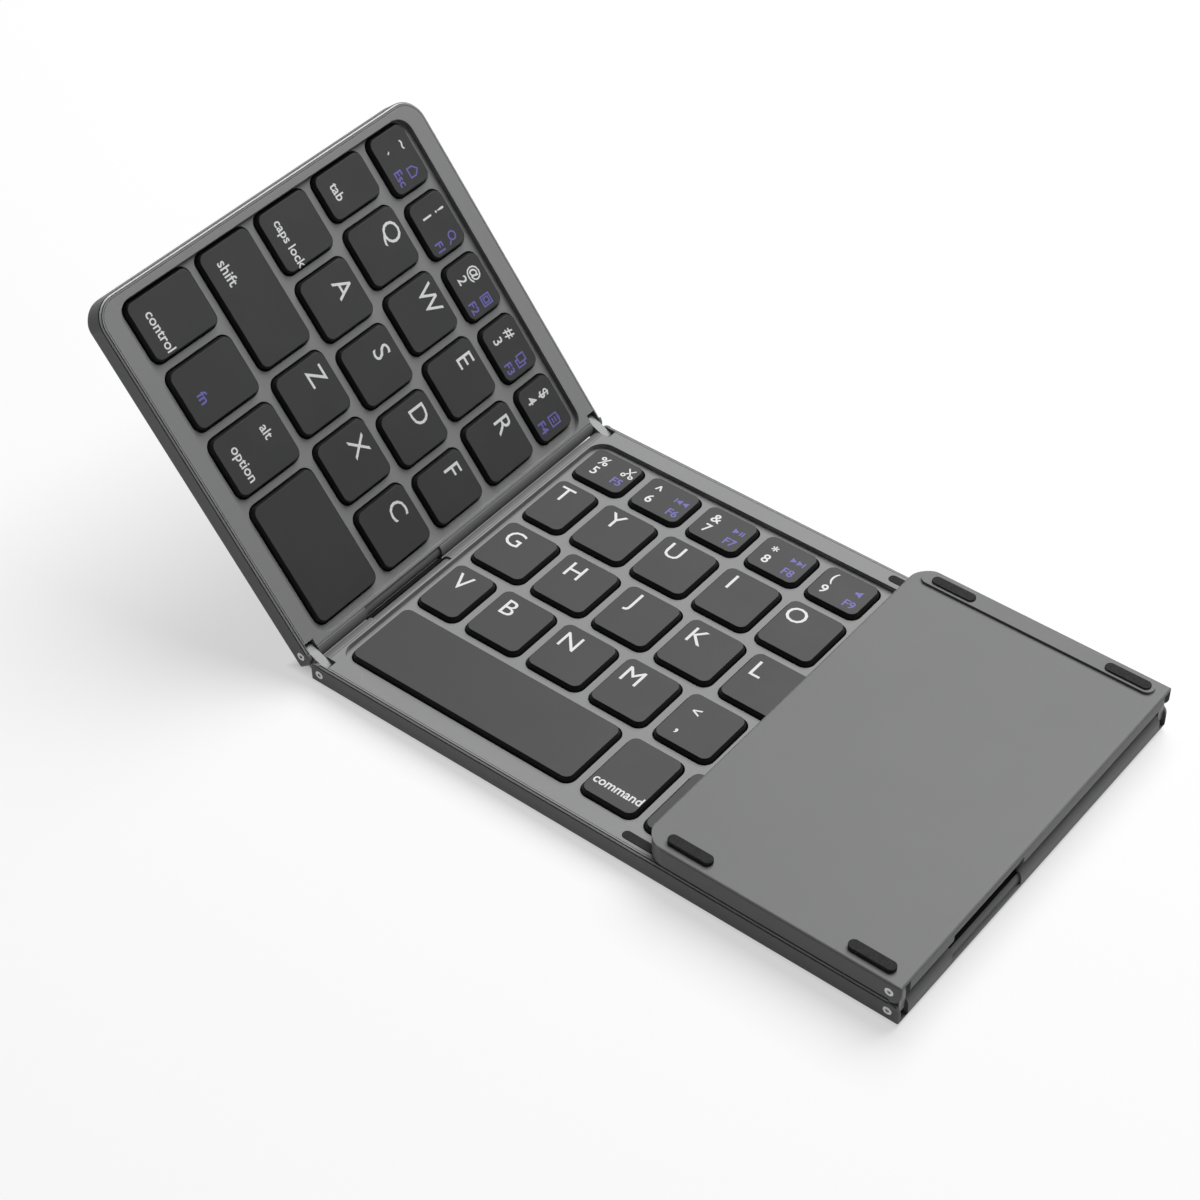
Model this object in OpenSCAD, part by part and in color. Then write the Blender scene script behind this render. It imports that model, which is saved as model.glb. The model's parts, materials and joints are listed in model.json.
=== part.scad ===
// Folding keyboard in three panels. The left and right panels fold onto the centre panel
// on two-pin links, so each fold has one pin in each panel and a link that turns on both.
// Origin: middle of the centre panel, on the desk. +X runs from the left hinge to the right
// hinge, +Y from the space bar to the number row, +Z up from the desk.

/* [Panels] */
// Depth of every panel, front to back
panel_d = 98.5; // [94:0.5:108]
// Width of the centre panel, hinge end to hinge end
centre_w = 148.5; // [144:0.5:160]
// Width of the left panel
left_w = 87.2; // [84:0.2:90]
// Thickness of every panel, back face to rim
panel_t = 5.2; // [5.2:0.1:6.4]
// Gap between the free ends of the two outer panels when both are folded
meet_gap = 0.4; // [0.3:0.1:1]
// Plan radius of the corners at a free end
corner_r = 6; // [3:0.5:8]
// Plan radius of the corners at a hinge end
hinge_corner_r = 0.8; // [0.5:0.1:1.2]
// Radius of the outer edge of the back
back_edge_r = 0.6; // [0.3:0.1:0.8]

/* [Shell and deck] */
// Thickness of a shell's floor
shell_floor = 0.8; // [0.7:0.1:1]
// Thickness of a shell's walls
shell_wall = 0.9; // [0.7:0.1:1]
// Width of the ledge inside the wall that the deck rests on
ledge_w = 0.5; // [0.3:0.1:0.6]
// Width of the solid rail at a hinge end
rail_w = 2.9; // [2.8:0.05:2.95]
// Seam between the deck and the shell
deck_seam = 0.1; // [0.05:0.05:0.2]
// Thickness of the deck's rim plate
rim_t = 1.2; // [1:0.1:1.4]
// Depth of the sunk key field below the rim
well_depth = 1.3; // [1:0.1:1.5]
// Thickness of the web between the keys
web_t = 0.7; // [0.5:0.1:0.9]
// Thickness of the wall around the sunk key field
tub_wall = 0.5; // [0.4:0.05:0.5]
// Distance from a hinge end to the sunk key field
well_hinge = 3.5; // [3.5:0.05:3.9]
// Distance from a free end to the sunk key field
well_end = 2.7; // [2.4:0.1:2.9]
// Distance from the front or back edge to the sunk key field
well_side = 5.1; // [4.5:0.1:5.8]
// Plan radius of the key field's corners
well_r = 4; // [3.8:0.1:5]
// Length of the finger scoop in the centre deck's front rim
scoop_l = 52; // [40:1:56]
// Distance from the left hinge end to the scoop
scoop_x = 13; // [12:0.5:20]
// Distance from the front edge to the scoop
scoop_inset = 1.8; // [1.7:0.1:2.5]
// Depth of the scoop below the rim
scoop_depth = 0.7; // [0.4:0.1:0.8]

/* [Hinges] */
// Fold of the left panel: 0 lies flat, 180 is closed
fold_open = 52; // [0:1:180]
// Gap between two panels where they meet, flat or folded
fold_gap = 0.3; // [0.2:0.1:0.6]
// Radius of a hinge pin
pin_r = 0.75; // [0.6:0.05:0.8]
// Radius of a pin's head
pin_head_r = 1; // [0.9:0.05:1.2]
// Thickness of a pin's head
pin_head_t = 0.5; // [0.3:0.05:0.6]
// Radial clearance of a link on its pin
pin_fit = 0.05; // [0.03:0.01:0.1]
// Radial clearance of a pin in its panel
pin_seat = 0.02; // [0.01:0.01:0.04]
// Thickness of the wall between a link and the panel's side
ear_t = 0.75; // [0.7:0.05:1]
// How far a pin reaches past its link into the panel
pin_reach = 2.1; // [1.6:0.1:2.2]
// Width of a link along its pins
link_w = 2.2; // [1.8:0.1:2.4]
// Radius of a link's round ends
link_r = 1.9; // [1.6:0.05:2]
// Clearance around a link in its notch
link_clear = 0.25; // [0.2:0.05:0.3]
// Clearance beside a link in its notch
link_side = 0.15; // [0.1:0.05:0.2]
// Wall around a pin and around its link's notch
pin_wall = 0.6; // [0.5:0.05:0.65]
// Wall past a pin's end and beside its link's notch
pin_end_wall = 0.4; // [0.3:0.05:0.45]
// Radius of the hexagon socket in a pin's head
pin_socket_r = 0.45; // [0.35:0.05:0.5]
// Depth of the socket in a pin's head
pin_socket_d = 0.3; // [0.2:0.05:0.4]

/* [Cable strips] */
// Length of the cable strip in each fold
cable_l = 24; // [16:0.5:30]
// Distance from the front edge to the strip's middle
cable_y = 30.2; // [24:0.2:60]
// Depth of the recess that holds the strip in a hinge rail
cable_recess = 0.5; // [0.4:0.05:0.6]
// Reach of the strip past the pins towards the keys
cable_in = 0.2; // [0.1:0.05:0.2]
// Clearance around the strip
cable_clear = 0.2; // [0.15:0.05:0.25]
// Height of the strip across the fold
cable_h = 1.2; // [0.8:0.1:1.2]

/* [Keys] */
// Width of a letter key. The keys of a row share out its length in the ratio of their widths.
letter_w = 14.5; // [13:0.1:16]
// Depth of a letter key
letter_d = 15.2; // [14:0.1:15.6]
// Width of a number or arrow key
number_w = 13.7; // [12.6:0.1:14.6]
// Depth of a number key
number_d = 11.2; // [10.8:0.1:12]
// Width of the two narrow home-row keys on the left panel
narrow_w = 12.8; // [12:0.1:14.5]
// Width of the keys cut short beside the left hinge
inner_w = 11.1; // [10.8:0.1:13]
// Width of the left panel's modifier keys
modifier_w = 14.1; // [12:0.1:16]
// Width of the centre panel's space bar
space_w = 59.3; // [50:0.1:64]
// Width of the left panel's space bar
left_space_w = 29; // [27:0.1:32]
// Width of the right arrow key
right_arrow_w = 12.9; // [12:0.1:14]
// Width of the left shift key
left_shift_w = 28; // [26:0.1:30]
// Width of the tab key
tab_w = 11.2; // [10.6:0.1:14]
// Width of the escape key
escape_w = 14.4; // [12:0.1:16]
// Width of the enter key
enter_w = 20.9; // [18:0.1:22]
// Width of the delete key
back_w = 10.5; // [10.5:0.1:13]
// Gap between keys in a row
key_gap = 2.3; // [2.2:0.1:2.4]
// Gap between rows
row_gap = 2.4; // [2.2:0.1:2.6]
// Distance from a hinge end to the first key of the centre panel
centre_inset = 5; // [4.9:0.1:5.4]
// Distance from the hinge end to the first key of an outer panel
outer_inset = 5.4; // [5.2:0.1:5.8]
// Distance from the free end of an outer panel to its last key
end_inset = 3.4; // [3.2:0.1:3.8]
// Distance from a panel's front or back edge to its keys
side_inset = 6.8; // [6.6:0.1:7.4]

/* [Key caps] */
// Plan radius of a cap's corners
cap_r = 2.2; // [1.5:0.1:2.6]
// Height of a cap
cap_h = 2.4; // [2.2:0.1:2.5]
// Side wall of a cap
cap_wall = 0.8; // [0.6:0.1:0.9]
// Top wall of a cap
cap_top = 0.9; // [0.7:0.1:1]
// How far a cap's sides lean in towards its top
cap_lean = 0.5; // [0.2:0.1:0.8]
// Distance from a cap's top down to the rim plane
cap_sunk = 0.1; // [0.05:0.05:0.3]
// Clearance between a cap and the web
cap_clear = 0.35; // [0.3:0.05:0.45]
// Key travel
travel = 1.2; // [0.8:0.1:1.2]

/* [Under the keys] */
// Thickness of the key board
board_t = 0.5; // [0.3:0.1:0.6]
// Distance from a hinge end to the key board
board_inset = 5.7; // [5.6:0.1:6.4]
// Distance from a side wall to a board
board_side = 0.6; // [0.5:0.1:1.2]
// Plan radius of the main board's corners
board_r = 1; // [0.5:0.1:1.5]
// Base radius of a rubber dome
dome_r = 2; // [1.6:0.1:2.1]
// Crown radius of a rubber dome
dome_top_r = 1.2; // [0.9:0.1:1.3]
// Skin of a rubber dome
dome_skin = 0.4; // [0.3:0.05:0.5]
// Height of a pressed dome and scissor above the board
mech_h = 1.4; // [1.2:0.05:1.45]
// Clearance between a scissor frame and its neighbours
scissor_clear = 0.15; // [0.1:0.05:0.2]
// Width of the outer scissor frame
scissor_w = 7.6; // [7.2:0.1:7.8]
// Width of a scissor frame's bars
scissor_bar = 0.7; // [0.5:0.05:0.75]
// Thickness of a scissor frame
scissor_t = 0.4; // [0.3:0.05:0.45]
// Keys wider than this have two scissors
two_scissors_w = 24; // [22:1:26]

/* [Touchpad and buttons] */
// Depth of the touchpad plate
touchpad_d = 62; // [54:0.5:64]
// Plan radius of the touchpad's corners
touchpad_r = 2.5; // [1.5:0.1:3]
// Clearance around the touchpad plate
touchpad_clear = 0.3; // [0.3:0.05:0.5]
// Travel of a click button
click_travel = 0.5; // [0.3:0.05:0.5]
// Thickness of a click button
click_t = 1.7; // [1.5:0.1:1.75]
// Radius of an indicator lens
lens_r = 0.6; // [0.4:0.05:0.8]
// Distance between indicator lenses
lens_pitch = 5; // [3:0.5:8]
// Distance from the touchpad's hinge side to the first lens
lens_inset = 10; // [6:0.5:16]

/* [Inside the right panel] */
// Thickness of the main board
main_board_t = 0.6; // [0.5:0.05:0.6]
// Depth of the main board, from the back wall
main_board_d = 46; // [40:0.5:50]
// Distance from the main board's sides to the touchpad's
main_board_inset = 2; // [1.5:0.1:4]
// Edge length of the largest chip
chip_w = 7; // [5:0.5:8]
// Height of a chip
chip_t = 0.9; // [0.6:0.1:1]
// Distance from the battery's sides to the touchpad's
battery_inset = 5; // [3:0.5:8]
// Depth of the battery
battery_d = 36; // [30:0.5:38]
// Thickness of the battery
battery_t = 2; // [1.6:0.1:2]
// Plan radius of the battery's corners
battery_r = 1.5; // [1:0.1:2]
// Width of the charging socket
socket_w = 7.6; // [7.2:0.1:8]
// Height of the charging socket
socket_h = 2.5; // [2.2:0.05:2.55]
// Clearance between the charging socket and the wall of the sunk field
socket_gap = 0.3; // [0.2:0.05:0.5]
// Wall of the charging socket
socket_wall = 0.3; // [0.2:0.05:0.35]
// Thickness of the charging socket's tongue
tongue_t = 0.6; // [0.5:0.05:0.8]
// Clearance around the charging socket in the shell's wall
socket_clear = 0.2; // [0.1:0.05:0.25]
// Distance from the free end to the socket's middle
socket_inset = 16; // [14:0.5:24]

/* [Feet and rim pads] */
// Height of the feet under the back face
foot_h = 1; // [0.8:0.1:1.4]
// Height of the raised strip that carries the back feet
strip_h = 0.6; // [0.4:0.05:0.6]
// Width of the raised strip
strip_w = 3.6; // [3.2:0.1:4]
// Distance from the raised strip's ends to the panel's ends
strip_inset = 2.4; // [2:0.1:4]
// Length of a foot
foot_l = 10.6; // [8:0.1:12]
// Width of a foot
foot_w = 2.4; // [2:0.1:2.8]
// Distance from the hinge end to a foot's middle
foot_x = 8.5; // [8.2:0.1:10]
// Distance from the free end to a foot's middle
foot_free_x = 10.2; // [9:0.1:12]
// Distance from the front edge to a front foot's middle
foot_y = 3; // [2.6:0.1:3.6]
// Distance from the back edge to a back foot's middle
foot_back_y = 3.4; // [3:0.1:4]
// Length of a rim pad
pad_l = 12; // [8:0.5:16]
// Width of a rim pad
pad_w = 2.2; // [1.8:0.1:2.4]
// Depth of a rim pad's pocket
pad_sunk = 0.6; // [0.4:0.1:0.7]
// Height of a rim pad above the rim
pad_proud = 0.1; // [0.05:0.05:0.15]
// Distance from a panel's edge to a rim pad's middle
pad_y = 2.8; // [2.7:0.05:3.1]

/* [Hidden] */
$fn = 48;
eps = 0.01;
over = 1;
big = 20;

shell_colour = [0.30, 0.31, 0.32];
deck_colour = [0.42, 0.43, 0.44];
cap_colour = [0.13, 0.13, 0.14];
rubber_colour = [0.10, 0.10, 0.11];
steel_colour = [0.80, 0.81, 0.83];
board_colour = [0.10, 0.30, 0.20];
dome_colour = [0.85, 0.86, 0.88];
scissor_colour = [0.92, 0.92, 0.90];
battery_colour = [0.62, 0.66, 0.70];
lens_colour = [0.75, 0.85, 0.95];

right_w = centre_w - left_w - meet_gap;
pin_inset = panel_t / 2;
link_l = panel_t + fold_gap;
notch_r = link_r + link_clear;
notch_w = link_w + 2 * link_side;
half_d = panel_d / 2;

// Ends of each panel along X, in the panel's own frame. An outer panel has its pin at x = 0.
centre_ends = [-centre_w / 2, centre_w / 2];
left_ends = [pin_inset - left_w, pin_inset];
right_ends = [-pin_inset, right_w - pin_inset];
centre_pins = [centre_ends[0] + pin_inset, centre_ends[1] - pin_inset];

// Levels above a panel's back face
web_top = panel_t - well_depth;
web_base = web_top - web_t;
rim_base = panel_t - rim_t;
cap_level = panel_t - cap_sunk;
cap_base = cap_level - cap_h;
board_top = shell_floor + board_t;

// The two blocks that hold a pin's ends beside its link
pin_len = ear_t + notch_w + pin_reach;
block_x = pin_inset + notch_r + pin_wall;
block_y = ear_t + notch_w + pin_end_wall;
ear_x = pin_inset + pin_r + pin_wall;
ear_y = pin_len + pin_end_wall;

// Rows from front to back: the edge that is nearer the front, and the depth of each
bottom_d = panel_d - 2 * side_inset - number_d - 3 * letter_d - 4 * row_gap;
row_d = [bottom_d, letter_d, letter_d, letter_d, number_d];
row_y = [for (i = 0, y = side_inset - half_d; i < 5; y = y + row_d[i] + row_gap, i = i + 1) y];

// Ends of the sunk key field along X in each panel, and its edges along Y
centre_field = [centre_ends[0] + well_hinge, centre_ends[1] - well_hinge];
left_field = [left_ends[0] + well_end, left_ends[1] - well_hinge];
right_field = [right_ends[0] + well_hinge, right_ends[1] - well_end];
field_y = half_d - well_side;

// Key widths along each row, counted from the left hinge. The keys and the gaps between
// them fill the span, and keep the ratio of the widths listed.
function total(list, n) = n == 0 ? 0 : list[n - 1] + total(list, n - 1);
function filled(widths, span) =
    let (share = (span - (len(widths) - 1) * key_gap) / total(widths, len(widths)))
    [for (w = widths) w * share];
left_span = left_w - outer_inset - end_inset;
left_rows = [
    filled([left_space_w, modifier_w, modifier_w, modifier_w], left_span),
    filled([letter_w, letter_w, letter_w, left_shift_w], left_span),
    filled([narrow_w, narrow_w, letter_w, letter_w, letter_w], left_span),
    filled([letter_w, letter_w, letter_w, letter_w, tab_w], left_span),
    filled([number_w, number_w, number_w, number_w, escape_w], left_span)];
centre_span = centre_w - 2 * centre_inset;
centre_rows = [
    filled([space_w, number_w, number_w, number_w, number_w, right_arrow_w], centre_span),
    filled([inner_w, for (i = [1:6]) letter_w, inner_w, inner_w], centre_span),
    filled([for (i = [1:7]) letter_w, enter_w], centre_span),
    filled([inner_w, for (i = [1:5]) letter_w, inner_w, inner_w, letter_w], centre_span),
    filled([for (i = [1:8]) number_w, back_w], centre_span)];

// Middle of key i of a row, measured along the row from the start of the first key
function key_mid(widths, i) = total(widths, i) + i * key_gap + widths[i] / 2;
// Middle and size of a key in its panel's own frame: [x, y, width, depth]
function left_key(row, i) = [
    left_ends[1] - outer_inset - key_mid(left_rows[row], i),
    row_y[row] + row_d[row] / 2,
    left_rows[row][i],
    row_d[row]];
function centre_key(row, i) = [
    centre_ends[0] + centre_inset + key_mid(centre_rows[row], i),
    row_y[row] + row_d[row] / 2,
    centre_rows[row][i],
    row_d[row]];
left_keys = [for (row = [0:4], i = [0:len(left_rows[row]) - 1]) left_key(row, i)];
centre_keys = [for (row = [0:4], i = [0:len(centre_rows[row]) - 1]) centre_key(row, i)];

// Every scissor is as long as the narrowest cap has room for
narrowest = min([for (key = concat(left_keys, centre_keys)) key[2]]);
scissor_l = narrowest - 2 * cap_wall - 2 * scissor_clear;

// Left panel's keys by name, with the row and the place counted from the hinge
left_names = [
    ["key_left_space", 0, 0], ["key_option", 0, 1], ["key_fn", 0, 2], ["key_control", 0, 3],
    ["key_c", 1, 0], ["key_x", 1, 1], ["key_z", 1, 2], ["key_shift", 1, 3],
    ["key_f", 2, 0], ["key_d", 2, 1], ["key_s", 2, 2], ["key_a", 2, 3], ["key_caps", 2, 4],
    ["key_r", 3, 0], ["key_e", 3, 1], ["key_w", 3, 2], ["key_q", 3, 3], ["key_tab", 3, 4],
    ["key_4", 4, 0], ["key_3", 4, 1], ["key_2", 4, 2], ["key_1", 4, 3], ["key_escape", 4, 4]];
// Centre panel's keys by name, with the row and the first and last place
centre_names = [
    ["key_space", 0, 0, 0], ["key_command", 0, 1, 1], ["keys_arrows", 0, 2, 5],
    ["keys_lower_row", 1, 0, 8], ["keys_home_row", 2, 0, 7],
    ["keys_upper_row", 3, 0, 8], ["keys_number_row", 4, 0, 8]];

// Touchpad and click buttons, in the right panel's own frame
pad_x0 = right_ends[0] + outer_inset;
pad_x1 = right_ends[1] - end_inset;
pad_mid = (pad_x0 + pad_x1) / 2;
touchpad_w = pad_x1 - pad_x0;
click_w = (touchpad_w - key_gap) / 2;
click_d = panel_d - 2 * side_inset - touchpad_d - row_gap;
click_y = side_inset - half_d + click_d / 2;
touchpad_y = half_d - side_inset - touchpad_d / 2;
lens_y = (half_d + field_y) / 2;
socket_x = right_ends[1] - socket_inset;
socket_l = well_side - tub_wall - socket_gap - shell_wall / 2;
inner_side = half_d - shell_wall - ledge_w - board_side;
key_board_r = corner_r - shell_wall - ledge_w - board_side;
main_board_w = touchpad_w - 2 * main_board_inset;
battery_w = touchpad_w - 2 * battery_inset;

// A cable strip fills the recess between two hinge rails
cable_t = fold_gap + 2 * cable_recess - 2 * cable_clear;
recess_l = cable_l + 2 * cable_clear;
cable_mid = cable_y - half_d;

// A folded panel's free end meets the other over the rim pads
pad_mid_x = centre_ends[0] + left_w + meet_gap / 2;

// ---- Placing a panel's own frame in the keyboard's frame ----

// Pin height of the centre panel above the desk
pin_z = foot_h + panel_t / 2;

module in_centre() {
    translate([0, 0, foot_h]) children();
}

// Frame of a link: the centre panel's pin at the origin, the other pin along X
module in_left_link() {
    translate([centre_pins[0], 0, pin_z]) rotate([0, fold_open / 2, 0]) children();
}

module in_right_link() {
    translate([centre_pins[1], 0, pin_z]) rotate([0, -90, 0]) children();
}

module in_left() {
    in_left_link() translate([-link_l, 0, 0]) rotate([0, fold_open / 2, 0])
        translate([0, 0, -pin_inset]) children();
}

module in_right() {
    in_right_link() translate([link_l, 0, 0]) rotate([0, -90, 0])
        translate([0, 0, -pin_inset]) children();
}

// ---- Outlines ----

module rounded(w, d, r) {
    square([w - 2 * r, d], center = true);
    square([w, d - 2 * r], center = true);
    for (sx = [-1, 1], sy = [-1, 1])
        translate([sx * (w / 2 - r), sy * (d / 2 - r)]) circle(r);
}

module block(x, y, z) {
    translate([x[0], y[0], z[0]]) cube([x[1] - x[0], y[1] - y[0], z[1] - z[0]]);
}

// What a radius takes off a square corner that points towards -X and -Y
module corner_waste(r) {
    difference() {
        translate([-eps, -eps]) square(r + eps);
        translate([r, r]) circle(r);
    }
}

// Plan of a panel from x[0] to x[1], with its own radius at each end
module plan(x, d, r) {
    difference() {
        translate([x[0], -d / 2]) square([x[1] - x[0], d]);
        for (side = [0, 1]) {
            translate([x[0], side == 0 ? -d / 2 : d / 2]) mirror([0, side]) corner_waste(r[0]);
            translate([x[1], side == 0 ? -d / 2 : d / 2]) mirror([0, side]) mirror([1, 0])
                corner_waste(r[1]);
        }
    }
}

// Side view of a panel, X along the panel and Y up. hinged says which ends carry pins:
// there the rim's edge is a quarter round about the pin's axis.
module side_view(x, hinged) {
    difference() {
        translate([x[0], 0]) square([x[1] - x[0], panel_t]);
        translate([x[0], 0]) corner_waste(back_edge_r);
        translate([x[1], 0]) mirror([1, 0]) corner_waste(back_edge_r);
        if (hinged[0]) translate([x[0], panel_t]) mirror([0, 1]) corner_waste(pin_inset);
        if (hinged[1]) translate([x[1], panel_t]) mirror([0, 1]) mirror([1, 0])
            corner_waste(pin_inset);
    }
}

module front_view() {
    difference() {
        translate([-half_d, 0]) square([panel_d, panel_t]);
        for (side = [0, 1])
            mirror([side, 0]) translate([-half_d, 0]) corner_waste(back_edge_r);
    }
}

// The whole space of a panel
module envelope(x, hinged) {
    radii = [hinged[0] ? hinge_corner_r : corner_r, hinged[1] ? hinge_corner_r : corner_r];
    intersection() {
        linear_extrude(panel_t) plan(x, panel_d, radii);
        rotate([90, 0, 0]) linear_extrude(panel_d + 2 * over, center = true) side_view(x, hinged);
        translate([x[0] - over, 0, 0]) rotate([90, 0, 90])
            linear_extrude(x[1] - x[0] + 2 * over) front_view();
    }
}

// The plan of what lies inside a panel's walls, and inside the rails of its hinge ends
module inside_plan(x, hinged, wall_gap, rail_gap) {
    wall = shell_wall + wall_gap;
    rail = rail_w + rail_gap;
    ends = [x[0] + (hinged[0] ? rail : wall), x[1] - (hinged[1] ? rail : wall)];
    radii = [hinged[0] ? eps : corner_r - wall, hinged[1] ? eps : corner_r - wall];
    plan(ends, panel_d - 2 * wall, radii);
}

// ---- Cuts and blocks at a hinge end ----

// Repeats its children at both ends of a pin axis, at the panel's front and back. The
// children are drawn for an end that points towards +X, with the pin's axis along Y.
module at_pins(pins, turned) {
    for (i = [0:len(pins) - 1], back = [0, 1])
        translate([pins[i], 0, pin_inset])
            mirror([turned[i] ? 1 : 0, 0, 0]) mirror([0, back, 0])
                translate([0, -half_d, 0]) children();
}

// Room for a link that swings from level to upright
module link_notch() {
    translate([0, ear_t + notch_w, 0]) rotate([90, 0, 0]) linear_extrude(notch_w) {
        circle(notch_r);
        translate([0, -notch_r]) square([big, big + notch_r]);
        translate([-notch_r, 0]) square([big + notch_r, big]);
    }
}

module pin_bore() {
    rotate([-90, 0, 0]) translate([0, 0, -over]) {
        cylinder(h = pin_len + over + eps, r = pin_r + pin_seat);
        cylinder(h = pin_head_t + over, r = pin_head_r + pin_seat);
    }
}

module pin_block() {
    low = shell_floor - pin_inset - eps;
    high = rim_base - pin_inset;
    block([pin_inset - block_x, pin_inset - rail_w + eps], [shell_wall - eps, block_y], [low, high]);
    block([pin_inset - ear_x, pin_inset - rail_w + eps], [block_y - eps, ear_y], [low, high]);
}

// Recess for the cable strip, following the quarter round at the recess's own depth
module cable_recess_cut() {
    core = pin_inset - cable_recess;
    reach_in = cable_in + cable_clear;
    reach_out = cable_h - cable_in + cable_clear;
    rotate([90, 0, 0]) linear_extrude(recess_l, center = true) difference() {
        translate([-reach_in, -reach_out]) square(big);
        circle(core);
        translate([-big, -big]) square([big, big + core]);
        translate([-big, -big]) square([big + core, big]);
    }
}

module at_cable(pins, turned) {
    for (i = [0:len(pins) - 1])
        translate([pins[i], cable_mid, pin_inset]) mirror([turned[i] ? 1 : 0, 0, 0]) children();
}

// ---- Panel pieces ----

module foot_plan() {
    rounded(foot_l, foot_w, foot_w / 2 - eps);
}

// Feet along a panel's back face, at [x] places; the back ones stand on the raised strip
module feet(places) {
    color(rubber_colour) for (x = places) {
        translate([x, foot_y - half_d, -foot_h]) linear_extrude(foot_h) foot_plan();
        translate([x, half_d - foot_back_y, -foot_h]) linear_extrude(foot_h - strip_h) foot_plan();
    }
}

module back_strip(x) {
    length = x[1] - x[0] - 2 * strip_inset;
    translate([(x[0] + x[1]) / 2, half_d - foot_back_y, -strip_h])
        linear_extrude(strip_h + eps) rounded(length, strip_w, strip_w / 2 - eps);
}

// Metal tray with a floor, walls up to the rim, a ledge for the deck and solid hinge rails
module shell(x, hinged, pins, turned) {
    color(shell_colour) difference() {
        union() {
            difference() {
                envelope(x, hinged);
                translate([0, 0, rim_base]) linear_extrude(big) inside_plan(x, hinged, 0, 0);
                translate([0, 0, shell_floor]) linear_extrude(big) inside_plan(x, hinged, ledge_w, 0);
            }
            at_pins(pins, turned) pin_block();
            back_strip(x);
        }
        at_pins(pins, turned) link_notch();
        at_pins(pins, turned) pin_bore();
        at_cable(pins, turned) cable_recess_cut();
    }
}

// Moulded plate inside the shell's rim, with the sunk field and its web.
// field gives the field's ends along X.
module deck_blank(x, hinged, pins, turned, field) {
    mid = (field[0] + field[1]) / 2;
    size = [field[1] - field[0], 2 * field_y];
    difference() {
        union() {
            translate([0, 0, rim_base]) linear_extrude(rim_t)
                inside_plan(x, hinged, deck_seam, deck_seam);
            translate([mid, 0, web_base]) linear_extrude(rim_base - web_base + eps)
                rounded(size.x + 2 * tub_wall, size.y + 2 * tub_wall, well_r + tub_wall);
        }
        translate([mid, 0, web_top]) linear_extrude(big) rounded(size.x, size.y, well_r);
        at_pins(pins, turned) link_notch();
    }
}

module key_hole(key) {
    translate([key[0], key[1], web_base - over]) linear_extrude(web_t + 2 * over)
        rounded(key[2] + 2 * cap_clear, key[3] + 2 * cap_clear, cap_r + cap_clear);
}

module deck(x, hinged, pins, turned, field, keys) {
    difference() {
        deck_blank(x, hinged, pins, turned, field);
        for (key = keys) key_hole(key);
    }
}

// Board with the key contacts, lying on the shell's floor
module key_board(x) {
    color(board_colour) translate([(x[0] + x[1]) / 2, 0, shell_floor])
        linear_extrude(board_t) rounded(x[1] - x[0], 2 * inner_side, key_board_r);
}

// Middles of the scissors under a key, along X
function scissor_places(key) = key[2] > two_scissors_w ? [-key[2] / 4, key[2] / 4] : [0];

module rubber_dome() {
    rotate_extrude() difference() {
        polygon([[0, 0], [dome_r, 0], [dome_r, dome_skin / 2], [dome_top_r, mech_h], [0, mech_h]]);
        polygon([[-eps, -eps], [dome_r - dome_skin, -eps], [dome_top_r - dome_skin, mech_h - dome_skin],
                 [-eps, mech_h - dome_skin]]);
    }
}

module domes(keys) {
    color(dome_colour) for (key = keys, x = scissor_places(key))
        translate([key[0] + x, key[1], board_top]) rubber_dome();
}

// One scissor frame lying level: a flat ring
module scissor_ring(w) {
    translate([-scissor_l / 2, -w / 2, 0]) difference() {
        cube([scissor_l, w, scissor_t]);
        translate([scissor_bar, scissor_bar, -over])
            cube([scissor_l - 2 * scissor_bar, w - 2 * scissor_bar, scissor_t + 2 * over]);
    }
}

// Two frames crossed at their middles, the inner one between the outer one's long bars
module scissor() {
    lean = asin((mech_h - scissor_t - scissor_clear) / scissor_l);
    inner_frame_w = scissor_w - 2 * scissor_bar - 2 * scissor_clear;
    for (side = [0, 1])
        translate([0, 0, mech_h / 2]) rotate([0, side == 0 ? lean : -lean, 0])
            translate([0, 0, -scissor_t / 2]) scissor_ring(side == 0 ? scissor_w : inner_frame_w);
}

module scissors(keys) {
    color(scissor_colour) for (key = keys, x = scissor_places(key))
        translate([key[0] + x, key[1], board_top]) scissor();
}

// Cap with leaning sides, hollow below
module key_cap(key) {
    w = key[2];
    d = key[3];
    color(cap_colour) translate([key[0], key[1], cap_base]) difference() {
        intersection() {
            linear_extrude(cap_h) rounded(w, d, cap_r);
            rotate([90, 0, 0]) linear_extrude(d + 2 * over, center = true) leaning_side(w);
            rotate([90, 0, 90]) linear_extrude(w + 2 * over, center = true) leaning_side(d);
        }
        translate([0, 0, -over]) linear_extrude(cap_h - cap_top + over)
            rounded(w - 2 * cap_wall, d - 2 * cap_wall, cap_r - cap_wall);
    }
}

// Side view of a cap: upright at the foot, leaning in above the web
module leaning_side(w) {
    foot = cap_h - well_depth + cap_sunk;
    polygon([[-w / 2, 0], [w / 2, 0], [w / 2, foot], [w / 2 - cap_lean, cap_h],
             [cap_lean - w / 2, cap_h], [-w / 2, foot]]);
}

// ---- Hinge hardware ----

// Two-pin link along +X from the origin, round at both ends
module link() {
    difference() {
        rotate([90, 0, 0]) linear_extrude(link_w, center = true) {
            circle(link_r);
            translate([link_l, 0]) circle(link_r);
            translate([0, -link_r]) square([link_l, 2 * link_r]);
        }
        for (x = [0, link_l])
            translate([x, 0, 0]) rotate([90, 0, 0])
                cylinder(h = link_w + 2 * over, r = pin_r + pin_fit, center = true);
    }
}

module links() {
    color(steel_colour) for (side = [-1, 1])
        translate([0, side * (half_d - ear_t - link_side - link_w / 2), 0]) link();
}

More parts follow.
